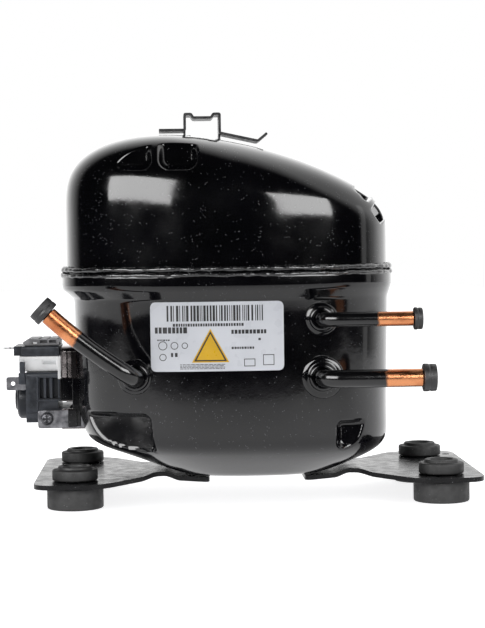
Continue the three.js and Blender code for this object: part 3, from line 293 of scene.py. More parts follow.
def painted_copper(name, paint_ends):
    """Copper tube: painted black near the shell, bare and slightly tarnished further out."""
    s = Shade(name)
    (x0, z0), (x1, z1) = paint_ends
    along = Vector((x1 - x0, 0, z1 - z0))
    steps = along / (along.length_squared * MM)
    start = place((x0, 0, z0))
    offset = -start.x * steps.x - start.z * steps.z
    split = s.node("ShaderNodeSeparateXYZ", i0=s.spot)
    across = s.sum("MULTIPLY", split.outputs[0], steps.x)
    upward = s.sum("MULTIPLY", split.outputs[2], steps.z)
    run = s.sum("ADD", across, upward)
    ragged = s.remap(s.noise(260, 2), 0.3, 0.7, -0.02, 0.02)
    bare = s.remap(s.sum("ADD", s.sum("ADD", run, offset), ragged), 0.49, 0.53)
    tarnish = s.remap(s.noise(90, 4), 0.42, 0.66)
    streaks = s.remap(s.noise(1300, 2, (0.12, 1, 1)), 0.3, 0.7, 0.18, 0.36)
    metal = s.mix(tarnish, rgb(0.58, 0.24, 0.11), rgb(0.34, 0.11, 0.045))
    paint = s.mix(s.remap(s.noise(80), 0.3, 0.7), rgb(0.0015, 0.0015, 0.002), rgb(0.004, 0.004, 0.005))
    s.set(Base_Color=s.mix(bare, paint, metal), Metallic=bare, Roughness=s.blend(bare, 0.16, streaks))
    s.bumps([(s.noise(420, 2), 0.03), (s.noise(1500, 2, (0.2, 1, 1)), 0.008)])
    return s.material


# ---------- mesh building
def added(name, mesh):
    obj = bpy.data.objects.new(name, mesh)
    bpy.context.scene.collection.objects.link(obj)
    return obj


def shaped(name, form, weld=False):
    """A mesh whose faces all look outwards, from points in millimetres."""
    verts, faces = form
    mesh = bpy.data.meshes.new(name)
    mesh.from_pydata([place(v) for v in verts], [], faces)
    work = bmesh.new()
    work.from_mesh(mesh)
    if weld:
        bmesh.ops.remove_doubles(work, verts=work.verts, dist=1e-6)
    bmesh.ops.recalc_face_normals(work, faces=work.faces)
    work.to_mesh(mesh)
    work.free()
    return mesh


def piece(name, form, material, body="shell", stands_for=(), slot=None, sharp=38):
    mesh = shaped(name, form, weld=True)
    obj = added(name, mesh)
    mesh.materials.append(material)
    smooth(mesh, sharp)
    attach(obj, body)
    if stands_for:
        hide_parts(*stands_for)
    return obj


def smooth(mesh, sharp=38):
    mesh.polygons.foreach_set("use_smooth", [True] * len(mesh.polygons))
    mesh.set_sharp_from_angle(angle=math.radians(sharp))


def loft(rings, looped=False, capped=False):
    """Faces between rings of equal count. A ring whose points coincide becomes a pole."""
    n = len(rings[0])
    verts = [point for ring in rings for point in ring]
    faces = []
    for i in range(len(rings) if looped else len(rings) - 1):
        a, b = i * n, (i + 1) % len(rings) * n
        faces += [(a + j, a + (j + 1) % n, b + (j + 1) % n, b + j) for j in range(n)]
    if capped:
        faces += [tuple(range(n)), tuple(range(len(verts) - n, len(verts)))]
    return verts, faces


def joined(*forms):
    verts, faces = [], []
    for more_verts, more_faces in forms:
        start = len(verts)
        verts += list(more_verts)
        faces += [tuple(start + i for i in face) for face in more_faces]
    return verts, faces


def moved(form, matrix):
    return [tuple(matrix @ Vector(v)) for v in form[0]], form[1]


def soften(points, radius, steps=4, closed=False):
    """A line of points with its corners rounded over this distance from each corner."""
    made = []
    for i, corner in enumerate(points):
        if not closed and i in (0, len(points) - 1):
            made.append(tuple(corner))
            continue
        here, back, on = Vector(corner), Vector(points[i - 1]), Vector(points[(i + 1) % len(points)])
        start = here.lerp(back, min(radius / max((back - here).length, 1e-6), 0.5))
        end = here.lerp(on, min(radius / max((on - here).length, 1e-6), 0.5))
        for k in range(steps + 1):
            t = k / steps
            made.append(tuple(start * (1 - t) ** 2 + here * 2 * t * (1 - t) + end * t * t))
    return made


def turned(profile, segments=64, closed=True):
    """A turned form about +Z from (radius, height) points, closed on itself or on the axis."""
    angles = [TURN * k / segments for k in range(segments)]
    rings = [[(r * math.cos(a), r * math.sin(a), h) for a in angles] for r, h in profile]
    return loft(rings, looped=closed)


def aimed(spot, axis):
    """Carries +Z onto an axis, at a spot."""
    turn = Vector((0, 0, 1)).rotation_difference(Vector(axis)).to_matrix().to_4x4()
    return Matrix.Translation(Vector(spot)) @ turn


def frames_along(path):
    """A direction and two crosswise directions at each point of a path, without twist."""
    points = [Vector(p) for p in path]
    last = len(points) - 1
    side = None
    made = []
    for i, point in enumerate(points):
        ahead = (points[min(i + 1, last)] - points[max(i - 1, 0)]).normalized()
        if side is None:
            side = ahead.orthogonal().normalized()
        side = (side - ahead * side.dot(ahead)).normalized()
        made.append((point, ahead, side, ahead.cross(side)))
    return made


def rod(path, radius, sides=24, bore=0.0):
    """A round bar or a tube along a path, its ends a little rounded."""
    frames = frames_along(path)

    def ring(i, r, shift=0.0):
        point, ahead, side, cross = frames[i]
        centre = point + ahead * shift
        angles = [TURN * k / sides for k in range(sides)]
        return [tuple(centre + side * (r * math.cos(a)) + cross * (r * math.sin(a))) for a in angles]

    last = len(frames) - 1
    lip = min(0.3, radius * 0.25)
    outer = [ring(0, radius - lip), ring(0, radius, lip * 0.8)]
    outer += [ring(i, radius) for i in range(1, last)]
    outer += [ring(last, radius, -lip * 0.8), ring(last, radius - lip)]
    if bore:
        inner = [ring(i, bore) for i in range(last, -1, -1)]
        return loft(outer + inner, looped=True)
    return loft([ring(0, 0)] + outer + [ring(last, 0)])


def slab(outline, across, low, high):
    """A flat outline given thickness along x, y or z."""
    turns = {"x": lambda u, v, w: (w, u, v), "y": lambda u, v, w: (u, w, v), "z": lambda u, v, w: (u, v, w)}
    put = turns[across]
    return loft([[put(u, v, w) for u, v in outline] for w in (low, high)], capped=True)


def rectangle(u0, u1, v0, v1, radius=0.0, steps=4):
    corners = [(u0, v0), (u1, v0), (u1, v1), (u0, v1)]
    return soften(corners, radius, steps, closed=True) if radius else corners


def brick(x0, x1, y0, y1, z0, z1):
    return slab(rectangle(x0, x1, y0, y1), "z", z0, z1)


def bar(radius, low, high, segments):
    """A plain round bar along +Z, mostly to drill with."""
    return turned([(0, low), (radius, low), (radius, high), (0, high)], segments, closed=False)


def strip(line, thickness):
    """The outline of a bent strip, from the line along its middle."""
    points = [Vector(p) for p in line]
    last = len(points) - 1
    left, right = [], []
    for i, point in enumerate(points):
        arriving = (point - points[i - 1]).normalized() if i else None
        leaving = (points[i + 1] - point).normalized() if i < last else None
        along = ((arriving or leaving) + (leaving or arriving)).normalized()
        reach = thickness / 2 / max(along.dot(arriving or leaving), 0.4)
        out = Vector((-along.y, along.x)) * reach
        left.append(tuple(point + out))
        right.append(tuple(point - out))
    return left + right[::-1]


def rounded_edges(obj, width, segments=2, angle=35):
    edges = obj.modifiers.new("edges", "BEVEL")
    edges.width = width * MM
    edges.segments = segments
    edges.limit_method = "ANGLE"
    edges.angle_limit = math.radians(angle)
    edges.harden_normals = True
    return obj


def cut(obj, *forms, sharp=38):
    """Takes closed forms away from a piece and keeps the result as its mesh."""
    tools = []
    for k, form in enumerate(forms):
        tool = added(f"tool_{k}", shaped("tool", form))
        tools.append(tool)
        knife = obj.modifiers.new("cut", "BOOLEAN")
        knife.operation = "DIFFERENCE"
        knife.solver = "EXACT"
        knife.object = tool
    bpy.context.view_layer.update()
    result = bpy.data.meshes.new_from_object(obj.evaluated_get(bpy.context.evaluated_depsgraph_get()))
    obj.modifiers.clear()
    obj.data = result
    for tool in tools:
        bpy.data.objects.remove(tool)
    smooth(result, sharp)
    return obj


def hard_part(name, form, material, slot, edge, cuts=(), angle=35, segments=2, sharp=30, **more):
    """A moulded or folded part: a form, what is cut out of it, and its small rounded edges."""
    obj = piece(name, form, material, slot=slot, sharp=sharp, **more)
    if cuts:
        cut(obj, *cuts, sharp=sharp)
    return rounded_edges(obj, edge, segments, angle)


# ---------- shell form
PLAN_POWER = 2.8
WALL = 3.0
UPPER = {"cx": -12.8, "x": 76.1, "y": 66.0}
LOWER = {"cx": -11.0, "x": 74.6, "y": 64.2}
BELT_OUT = 78.4
BELT_TOP, BELT_BOTTOM = 107.6, 100.5
SKIRT_Z = 101.6
WALL_TOP_LEFT, WALL_TOP_RIGHT = 135, 119.3
CROWN_Z, CROWN_X, FALL, CURL = 173.5, -60.0, 518.0, 1.31e-6
DOME_POWER, DOME_POWER_RIGHT, DOME_SPREAD = 3.4, 6.0, 3.7


def roof_z(x):
    run = x - CROWN_X
    return CROWN_Z - run**2 / FALL - CURL * run**3


def wall_top_z(x):
    share = (x - UPPER["cx"] + UPPER["x"]) / (2 * UPPER["x"])
    return WALL_TOP_LEFT + (WALL_TOP_RIGHT - WALL_TOP_LEFT) * share


def on_curve(angle, power):
    """A point of the unit superellipse in this direction."""
    c, s = math.cos(angle), math.sin(angle)
    reach = (abs(c) ** power + abs(s) ** power) ** (-1 / power)
    return c * reach, s * reach


def spaced(start, stop, coarse, fine_spans):
    """Values from start to stop with finer steps inside some spans of (from, to, step)."""
    made, value = [], start
    while value < stop - 1e-9:
        made.append(value)
        step = min([fine for a, b, fine in fine_spans if a <= value < b] + [coarse])
        value += step
    return made


def plan_ring(angles, reach, depth, cx, z):
    """A ring of the shell. z is a height, or is worked out from x."""
    ring = []
    for angle in angles:
        c, s = on_curve(math.radians(angle), PLAN_POWER)
        x = cx + reach * c
        ring.append(Vector((x, depth * s, z(x) if callable(z) else z)))
    return ring


def step_in(value, edge0, edge1):
    t = min(max((value - edge0) / (edge1 - edge0), 0), 1)
    return t * t * (3 - 2 * t)


def outside(u, v, box, radius):
    """Signed distance from a rounded rectangle (u0, u1, v0, v1); negative inside it."""
    u0, u1, v0, v1 = box
    a = abs(u - (u0 + u1) / 2) - (u1 - u0) / 2 + radius
    b = abs(v - (v0 + v1) / 2) - (v1 - v0) / 2 + radius
    return math.hypot(max(a, 0), max(b, 0)) + min(max(a, b), 0) - radius


FRONT = Vector((0, -1, 0))
DOME_POCKETS = [(-65.4, -47.2), (-44.1, -26.8)]
POCKET_FLOOR_Y, POCKET_BOTTOM_Z, POCKET_LEAN = -52.0, 153.9, 0.34
ABOVE_ALL = 215
SLOPE, SLOPE_DEPTH = 0.88, 7.6
SLOPE_REACH = (-45, -4)
SLOPE_DOWN = Vector((math.cos(SLOPE), 0, -math.sin(SLOPE)))
SLOPE_OUT = Vector((math.sin(SLOPE), 0, math.cos(SLOPE)))
SLOPE_SPOT = Vector((56.7, 0, 141.3))
CORNER_SLANT = 0.44
CORNER_POCKET = (-46, 0, 25, 44.8)
SIDE_POCKET = (34.5, 49.5, 26.5, 40)
SIDE_FLOOR_Y = 64.2 - 15.5
CORNER_ALONG = Vector((math.cos(CORNER_SLANT), -math.sin(CORNER_SLANT), 0))
CORNER_IN = Vector((math.sin(CORNER_SLANT), math.cos(CORNER_SLANT), 0))
CORNER_SPOT = Vector((-46, -52, 0))


def pressed(point, direction, floor, distance, ramp):
    """A point pushed along a direction to a floor, fading out over the ramp of a pocket's edge."""
    height = point.dot(direction)
    if height <= floor:
        return point
    share = 1 - step_in(distance, -ramp, ramp * 0.25)
    soft = min((height - floor) / 1.2, 1)
    return point - direction * ((height - floor) * share * (0.15 + 0.85 * soft))


def pocket_depth(z):
    """The floors of the pockets in the dome lean back as they rise."""
    return -POCKET_FLOOR_Y - POCKET_LEAN * max(0, z - POCKET_BOTTOM_Z - 3)


def stamp_dome(point, wall, radius):
    """The two pockets on the left, or at the inside of the dome their backs, a wall's thickness behind."""
    for x0, x1 in DOME_POCKETS:
        box = (x0 - wall, x1 + wall, POCKET_BOTTOM_Z - wall, ABOVE_ALL)
        distance = outside(point.x, point.z, box, radius)
        if distance < 1:
            point = pressed(point, FRONT, pocket_depth(point.z) - wall, distance, 2.6)
    return point


def stamp_upper(point):
    point = stamp_dome(point, 0, 5.0)
    local = point - SLOPE_SPOT
    for middle in (-6, 6):
        box = (middle - 4.7, middle + 4.7, *SLOPE_REACH)
        distance = outside(local.dot(SLOPE_DOWN), point.y, box, 3.2)
        if distance < 1:
            point = SLOPE_SPOT + pressed(point - SLOPE_SPOT, SLOPE_OUT, -SLOPE_DEPTH, distance, 2.0)
    return point


def lean_at(z):
    """The floors of the low pockets lean back as they rise."""
    return 0.8 - 0.14 * (z - 25)


def grown(box, wall):
    u0, u1, v0, v1 = box
    return u0 - wall, u1 + wall, v0 - wall, v1 + wall


def stamp_lower(point, wall=0, corner_radius=4.5, side_radius=3.5):
    """The low pockets, the same at the back, or at the inside of the pot their backs."""
    side = -1 if point.y > 0 else 1
    mirrored = Vector((point.x, point.y * side, point.z))
    local = mirrored - CORNER_SPOT
    distance = outside(local.dot(CORNER_ALONG), mirrored.z, grown(CORNER_POCKET, wall), corner_radius)
    if distance < 1:
        mirrored = CORNER_SPOT + pressed(local, -CORNER_IN, lean_at(mirrored.z) - wall, distance, 2.4)
    distance = outside(mirrored.x, mirrored.z, grown(SIDE_POCKET, wall), side_radius)
    if distance < 1:
        floor_y = SIDE_FLOOR_Y + lean_at(mirrored.z) - wall
        mirrored = pressed(mirrored, FRONT, floor_y, distance, 2.2)
    return Vector((mirrored.x, mirrored.y * side, mirrored.z))


def depth_at(reach, plan):
    if reach > plan["x"]:
        return plan["y"] + reach - plan["x"]
    return plan["y"] * reach / plan["x"]


def dome_rise(share, x):
    """How much of the height between wall and roof is reached at this share of the way out."""
    right = max(0, (x - UPPER["cx"]) / UPPER["x"])
    power = DOME_POWER + (DOME_POWER_RIGHT - DOME_POWER) * right**2
    return max(0, 1 - share**power) ** (1 / power)


def dome_ring(angles, plan, drop, tilt):
    """A ring of the dome, from its wall (tilt 0) to its crown (tilt 90 degrees)."""
    share = on_curve(math.radians(tilt), DOME_SPREAD)[0] if tilt < 90 else 0.0
    reach = plan["x"] * share

    def z(x):
        return wall_top_z(x) + (roof_z(x) - drop - wall_top_z(x)) * dome_rise(share, x)

    return plan_ring(angles, reach, depth_at(reach, plan), UPPER["cx"], z)


def upper_shell():
    angles = spaced(0, 360, 1.6, [(226, 266, 0.4), (322, 358, 0.45)])
    tilts = spaced(0, 90, 2.2, [(6, 62, 0.5)]) + [90]
    inner = {"cx": UPPER["cx"], "x": UPPER["x"] - WALL, "y": UPPER["y"] - WALL}
    rings = [plan_ring(angles, inner["x"], inner["y"], inner["cx"], SKIRT_Z)]
    rings += [plan_ring(angles, UPPER["x"], UPPER["y"], UPPER["cx"], z) for z in (SKIRT_Z, 105, 109, 113)]
    rings += [[stamp_upper(p) for p in dome_ring(angles, UPPER, 0, tilt)] for tilt in tilts]
    hollow = [dome_ring(angles, inner, WALL, tilt) for tilt in range(0, 91, 6)]
    return loft(rings + [[stamp_inside(p) for p in ring] for ring in hollow[::-1]], looped=True)


def stamp_inside(point):
    """The inside of the dome follows the pockets, a wall's thickness behind them."""
    point = stamp_dome(point, WALL, 6)
    local = point - SLOPE_SPOT
    excess = local.dot(SLOPE_OUT) + SLOPE_DEPTH + WALL
    near = SLOPE_REACH[0] - 4 < point.y < 0 and abs(local.dot(SLOPE_DOWN)) < 15
    return point - SLOPE_OUT * excess if near and excess > 0 else point


def spread(a, b, count):
    """Points from one row of numbers towards the next, without the last."""
    return [tuple(p + (q - p) * k / count for p, q in zip(a, b)) for k in range(count)]


def lower_shell():
    angles = spaced(0, 360, 1.6, [(42, 64, 0.5), (112, 158, 0.5), (202, 248, 0.5), (296, 318, 0.5)])
    cx, ux = LOWER["cx"], UPPER["cx"]
    floor_rows = [
        (0, 11.7, -1), (34, 11.7, -1), (46, 16.6, -1.5), (59.6, 22.6, -2.5), (69, 27.6, -7),
        (72.4, 33, -9.6), (73.6, 45, cx), (74.6, 94.6, cx),
    ]
    outer = soften(floor_rows, 7, 6)[:-1]
    outer += soften([
        (74.6, 94.6, cx), (74.9, 96.0, cx), (BELT_OUT - 0.4, 100.2, ux), (BELT_OUT, 102.2, ux),
        (BELT_OUT, 106.6, ux), (BELT_OUT - 0.8, BELT_TOP, ux), (UPPER["x"] + 0.3, BELT_TOP, ux),
    ], 0.9, 4)
    fine = []
    for a, b in zip(outer, outer[1:]):
        tall = abs(b[1] - a[1])
        if not 22 < (a[1] + b[1]) / 2 < 48:
            tall /= 14
        fine += spread(a, b, max(1, round(tall / 0.7)))
    fine.append(outer[-1])
    rings = [plan_ring(angles, r, depth_at(r, LOWER), c, z) for r, z, c in fine]
    rings = [[stamp_lower(p) if 20 < p.z < 50 else p for p in ring] for ring in rings]
    inside = [
        (UPPER["x"] + 0.3, SKIRT_Z - 0.3, ux), (UPPER["x"] - 1, SKIRT_Z - 0.3, ux), (71.6, 95.3, cx),
        (71.2, 60, cx), (70.6, 45, cx), (69, 36, -9.4), (65, 30.6, -7), (57, 25.6, -2.5), (42, 19, -1.5),
        (32, 14.7, -1), (0, 14.7, -1),
    ]
    hollow = []
    for a, b in zip(inside, inside[1:]):
        hollow += spread(a, b, 4)
    hollow.append(inside[-1])
    for r, z, c in hollow:
        ring = plan_ring(angles, r, depth_at(r, LOWER), c, z)
        rings.append([stamp_lower(p, WALL, 7, 6) if z < 52 else p for p in ring])
    return loft(rings)


def bead_ring(reach, z, radius, lump, seed, sides=10, count=520):
    """A weld bead round the shell: a rope whose thickness and place wander a little."""
    rings = []
    for k in range(count):
        angle = TURN * k / count
        c, s = on_curve(angle, PLAN_POWER)
        x, y = UPPER["cx"] + reach * c, (UPPER["y"] + reach - UPPER["x"]) * s
        out = Vector((c, s, 0)).normalized()
        spot = Vector((x, y, z))
        swell = noise.noise(Vector((x, y, seed)) * 0.24)
        drift = noise.noise(Vector((x, y, seed + 9)) * 0.1) * lump
        r = radius * (1 + 0.5 * lump * swell)
        ring = []
        for j in range(sides):
            a = TURN * j / sides
            rough = 1 + 0.28 * lump * noise.noise(Vector((x + j * 3, y, seed)) * 0.9)
            raised = r * math.sin(a) * rough + drift * 0.4
            ring.append(spot + out * (r * math.cos(a) * rough) + Vector((0, 0, raised)))
        rings.append(ring)
    return loft(rings, looped=True)


def front_y(x, z, grow=0.0):
    """Where the lower shell's front wall lies at x and z."""
    reach = 73.6 + (z - 42) / 53.3
    depth = LOWER["y"] * reach / LOWER["x"]
    share = abs((x - LOWER["cx"]) / reach)
    return -depth * (1 - share**PLAN_POWER) ** (1 / PLAN_POWER) - grow


piece("dome_skin", upper_shell(), black_paint, stands_for=["upper_shell"], slot="black_paint", sharp=60)
piece("pot_skin", lower_shell(), black_paint, stands_for=["lower_shell"], slot="black_paint", sharp=60)
upper_bead = bead_ring(77.1, 109.5, 1.25, 0.9, 3.0)
lower_bead = bead_ring(77.75, 107.0, 0.95, 1.0, 21.0, sides=8)
piece("upper_weld_bead", upper_bead, bead_paint, slot="black_paint", sharp=80)
piece("lower_weld_bead", lower_bead, bead_paint, slot="black_paint", sharp=80)


# ---------- base
PLATE = 2.2
FOOT_X, FOOT_Y = 85, 35


def bracket_form():
    """One base bracket, seen on the right: a plate with its folds worked into a cut outline."""
    half = [(22.5, 22), (38, 20), (44, 19), (49, 21), (69, 48), (75, 52), (98.5, 52), (103.5, 47)]
    outline = soften([*half, *[(x, -y) for x, y in half[::-1]]], 4.5, 5, closed=True)
    work = bmesh.new()
    lower_face = work.faces.new([work.verts.new((x, y, 0)) for x, y in outline])
    thick = bmesh.ops.extrude_face_region(work, geom=[lower_face])
    for v in thick["geom"]:
        if isinstance(v, bmesh.types.BMVert):
            v.co.z = PLATE
    for k in range(36):
        cut_at = 32 + k * 0.8
        everything = list(work.verts) + list(work.edges) + list(work.faces)
        bmesh.ops.bisect_plane(work, geom=everything, plane_co=(cut_at, 0, 0), plane_no=(1, 0, 0))
    for v in work.verts:
        x = v.co.x
        tongue = 2.2 * step_in(x, 44, 36) + 0.06 * max(0, 36 - x)
        v.co.z += 10.4 + 1.2 * step_in(x, 55, 47) - (tongue if x < 44 else 0)
    bmesh.ops.triangulate(work, faces=[f for f in work.faces if len(f.verts) > 4])
    work.verts.index_update()
    verts = [tuple(v.co) for v in work.verts]
    faces = [tuple(v.index for v in f.verts) for f in work.faces]
    work.free()
    return verts, faces


def base():
    bore = bar(8.0, -5, 40, 48)
    small_hole = moved(bar(1.8, 0, 30, 24), Matrix.Translation((98.7, 37, 0)))
    for name, sign in (("right_base_bracket", 1), ("left_base_bracket", -1)):
        turn = Matrix.Rotation(0 if sign > 0 else math.pi, 4, "Z")
        holes = [moved(bore, Matrix.Translation((sign * FOOT_X, y, 0))) for y in (-FOOT_Y, FOOT_Y)]
        if sign > 0:
            holes.append(small_hole)
        hard_part(f"{name}_plate", moved(bracket_form(), turn), bracket_paint, "black_paint", 0.45, holes,
                  angle=40, stands_for=[name])
    block = soften([
        (5.25, 0), (13, 0), (13, 10.1), (7.7, 10.1), (7.7, 12.9), (10.5, 12.9), (10.5, 17.9),
        (7.8, 17.9), (7.8, 19.4), (5.25, 19.4),
    ], 0.9, 4, closed=True)
    for side, sx in (("left", -1), ("right", 1)):
        for end, sy in (("front", -1), ("rear", 1)):
            node = f"{side}_{end}_grommet"
            form = moved(turned(block, 72), Matrix.Translation((sx * FOOT_X, sy * FOOT_Y, 0)))
            piece(f"{node}_rubber", form, black_rubber, stands_for=[node], slot="black_rubber", sharp=70)


# ---------- tubes
TUBE_Y, TUBE_START_Y, BEND = -73.5, -56.4, 8.0
TUBES = {
    "discharge": {"spot": (27.6, 86.6), "r": 3.25, "bore": 2.5, "collar": 7.5, "collar_h": 4.2,
                  "ends": [(67.1, 86.6)], "cap": 5.0, "cap_h": 4.0, "paint": ((34.6, 86.6), (67.4, 86.6))},
    "suction": {"spot": (27.9, 60.4), "r": 4.0, "bore": 3.1, "collar": 9.7, "collar_h": 4.6,
                "ends": [(71.0, 60.4)], "cap": 6.2, "cap_h": 6.0, "paint": ((38.2, 60.4), (71.2, 60.4))},
    "process": {"spot": (-56.1, 61.7), "r": 4.0, "bore": 3.1, "collar": 8.0, "collar_h": 4.6,
                "ends": [(-63.5, 66.8), (-79.5, 77.6), (-93.3, 90.5)], "cap": 6.0, "cap_h": 5.5,
                "paint": ((-69.1, 70.8), (-93.3, 86.8))},
}


def bezier(a, b, c, count):
    shares = [k / count for k in range(1, count + 1)]
    return [a * (1 - t) ** 2 + b * 2 * t * (1 - t) + c * t * t for t in shares]


def tube_path(tube):
    (x, z), ends = tube["spot"], [Vector((u, TUBE_Y, v)) for u, v in tube["ends"]]
    corner = Vector((x, TUBE_Y, z))
    start, bend_start = Vector((x, TUBE_START_Y, z)), Vector((x, TUBE_Y + BEND, z))
    bend_end = corner + (ends[0] - corner).normalized() * BEND
    path = [start, start.lerp(bend_start, 0.5), bend_start, *bezier(bend_start, corner, bend_end, 12)]
    path += [bend_end.lerp(ends[0], k / 6) for k in range(1, 7)]
    if len(ends) > 1:
        path += bezier(*ends, 16)
    return path


def tubes():
    for name, tube in TUBES.items():
        path = tube_path(tube)
        r, bore, big, tall = tube["r"], tube["bore"], tube["collar"], tube["collar_h"]
        copper = painted_copper(f"{name}_copper", tube["paint"])
        piece(f"{name}_pipe", rod(path, r, 40, bore), copper, stands_for=[f"{name}_tube"],
              slot="copper", sharp=50)
        ring = soften([
            (r + 0.15, -5), (big, -5), (big, 1.8), (big - 1.3, 2.6), (r + 2.4, 2.8), (r + 1.9, tall),
            (r + 0.15, tall),
        ], 0.8, 4, closed=True)
        x, z = tube["spot"]
        form = moved(turned(ring, 72), aimed((x, front_y(x, z), z), (0, -1, 0)))
        piece(f"{name}_boss", form, black_paint, stands_for=[f"{name}_collar"], slot="black_paint", sharp=60)
        cap, cap_h = tube["cap"], tube["cap_h"]
        profile = soften([
            (0, -6), (bore - 0.3, -6), (bore - 0.3, 0.3), (cap, 0.3), (cap, cap_h * 0.42),
            (cap - 0.35, cap_h * 0.5), (cap - 0.1, cap_h * 0.6), (cap - 0.2, cap_h), (cap - 1.6, cap_h),
            (cap - 2.0, cap_h - 0.7), (0, cap_h - 0.7),
        ], 0.35, 3)
        form = moved(turned(profile, 56, closed=False), aimed(path[-1], path[-1] - path[-2]))
        piece(f"{name}_plug", form, cap_rubber, body=f"{name}_cap", stands_for=[f"{name}_cap"],
              slot="black_rubber", sharp=50)


# ---------- rating label
LABEL = (-48.9, 10.5, 64.0, 95.0)


def film(outline_box, low, high, radius=0.0, columns=24):
    """A patch of thin film on the front wall, between two distances from it."""
    x0, x1, z0, z1 = outline_box
    count = max(1, round((x1 - x0) / (LABEL[1] - LABEL[0]) * columns))
    xs = [x0 + (x1 - x0) * k / count for k in range(count + 1)]
    if radius:
        rounds = [0.0, 0.15, 0.5, 1.0]
        xs = [x0 + radius * t for t in rounds] + xs[1:-1] + [x1 - radius * t for t in rounds[::-1]]
        xs = sorted(xs)

    def inset(x):
        near = min(x - x0, x1 - x)
        if not radius or near >= radius:
            return 0
        return radius - math.sqrt(max(radius**2 - (radius - near) ** 2, 0))

    rings = []
    for x in xs:
        low_z, high_z = z0 + inset(x), z1 - inset(x)
        if high_z - low_z < 1e-6:
            continue
        zs = [low_z + (high_z - low_z) * t for t in (0, 0.5, 1)] if z1 - z0 > 8 else [low_z, high_z]
        outer = [(x, front_y(x, z, high), z) for z in zs]
        rings.append(outer + [(x, front_y(x, z, low), z) for z in zs[::-1]])
    return loft(rings, capped=True)


def label():
    x0, x1, z0, z1 = LABEL
    piece("label_sheet", film(LABEL, 0.04, 0.26, radius=2.2), label_film, stands_for=["rating_label"],
          slot="label_film", sharp=50)
    marks = []
    at = x0 + 7.3
    while at < x0 + 50:  # a barcode made of random bars
        wide = random.choice((0.35, 0.35, 0.55, 0.8, 1.05))
        marks.append((at, at + wide, z1 - 8.6, z1 - 1.6))
        at += wide + random.choice((0.4, 0.45, 0.6, 0.9))

    def dashes(start, end, low, high, least, most, space):
        spot = start
        while spot < end - least:
            wide = min(random.uniform(least, most), end - spot)
            marks.append((spot, spot + wide, low, high))
            spot += wide + space

    lines = [  # from, to, bottom and top below the label's upper edge, least and most width, gap
        (10, 42, 10.9, 9.6, 0.6, 1.0, 0.35),
        (2.0, 17.5, 13.9, 11.2, 1.0, 2.2, 0.45),
        (36, 52, 14.4, 12.6, 0.9, 1.5, 0.4),
        (36, 46, 21.2, 20.2, 0.5, 1.0, 0.35),
        (48, 50, 17.4, 16.4, 0.8, 1.2, 0.3),
        (3, 9, 17.2, 16.6, 0.5, 0.9, 0.3),
        (9, 12, 24.4, 22.6, 0.9, 1.2, 0.8),
    ]
    for left, right, bottom, top, *widths in lines:
        dashes(x0 + left, x0 + right, z1 - bottom, z1 - top, *widths)
    for row in range(4):
        dashes(x0 + 13, x0 + 33, z0 + 1.1 + row * 0.62, z0 + 1.36 + row * 0.62, 0.7, 2.0, 0.3)
    for a, b, c, d in ((41.5, 46.5, 2.0, 5.4), (50, 55, 2.4, 7.2)):  # two plain frames
        left, right, low, high = x0 + a, x0 + b, z0 + c, z0 + d
        marks += [(left, right, low, low + 0.3), (left, right, high - 0.3, high),
                  (left, left + 0.3, low, high), (right - 0.3, right, low, high)]
    forms = [film(mark, 0.24, 0.30, columns=30) for mark in marks]
    for right, down, r in ((5.4, 19.4, 2.0), (10.6, 19.4, 1.7), (15.2, 19.4, 1.4), (5.4, 24.6, 1.6)):
        forms.append(printed_ring(x0 + right, z1 - down, r))
    sign = (x0 + 26.6, z1 - 12.0, 16.6, 15.0)
    piece("label_print", joined(*forms), label_ink, slot="label_film", sharp=30)
    piece("label_triangle", triangle(*sign, 0.25, 0.33), label_yellow, slot="label_film", sharp=30)
    piece("label_triangle_edge", triangle_edge(*sign), label_ink, slot="label_film", sharp=30)


def printed_ring(cx, cz, r):
    sections = []
    for k in range(28):
        a = TURN * k / 28
        section = []
        for q, grow in ((r, 0.30), (r - 0.32, 0.30), (r - 0.32, 0.24), (r, 0.24)):
            x, z = cx + q * math.cos(a), cz + q * math.sin(a)
            section.append((x, front_y(x, z, grow), z))
        sections.append(section)
    return loft(sections, looped=True)


def triangle(cx, top, wide, tall, low, high):
    """A triangular patch that follows the curve of the wall."""
    rings = []
    for k in range(25):
        x = cx + wide * (k / 24 - 0.5)
        peak = top - tall + max(0.05, tall * (1 - abs(x - cx) / (wide / 2)))
        zs = [top - tall + (peak - top + tall) * t for t in (0, 0.5, 1)]
        outer = [(x, front_y(x, z, high), z) for z in zs]
        rings.append(outer + [(x, front_y(x, z, low), z) for z in zs[::-1]])
    return loft(rings, capped=True)


def triangle_edge(cx, top, wide, tall):
    rings = []
    for inset, g in ((0.5, 0.36), (1.1, 0.36), (1.1, 0.26), (0.5, 0.26)):
        w, t = wide - inset * 3.7, tall - inset * 3.1
        low = top - tall + inset
        points = [Vector((cx - w / 2, low)), Vector((cx + w / 2, low)), Vector((cx, low + t))]
        corners = [points[k].lerp(points[(k + 1) % 3], j / 12) for k in range(3) for j in range(12)]
        rings.append([(x, front_y(x, z, g), z) for x, z in corners])
    return loft(rings, looped=True)


# ---------- tray clip
CLIP_TOP_Z = 183.2


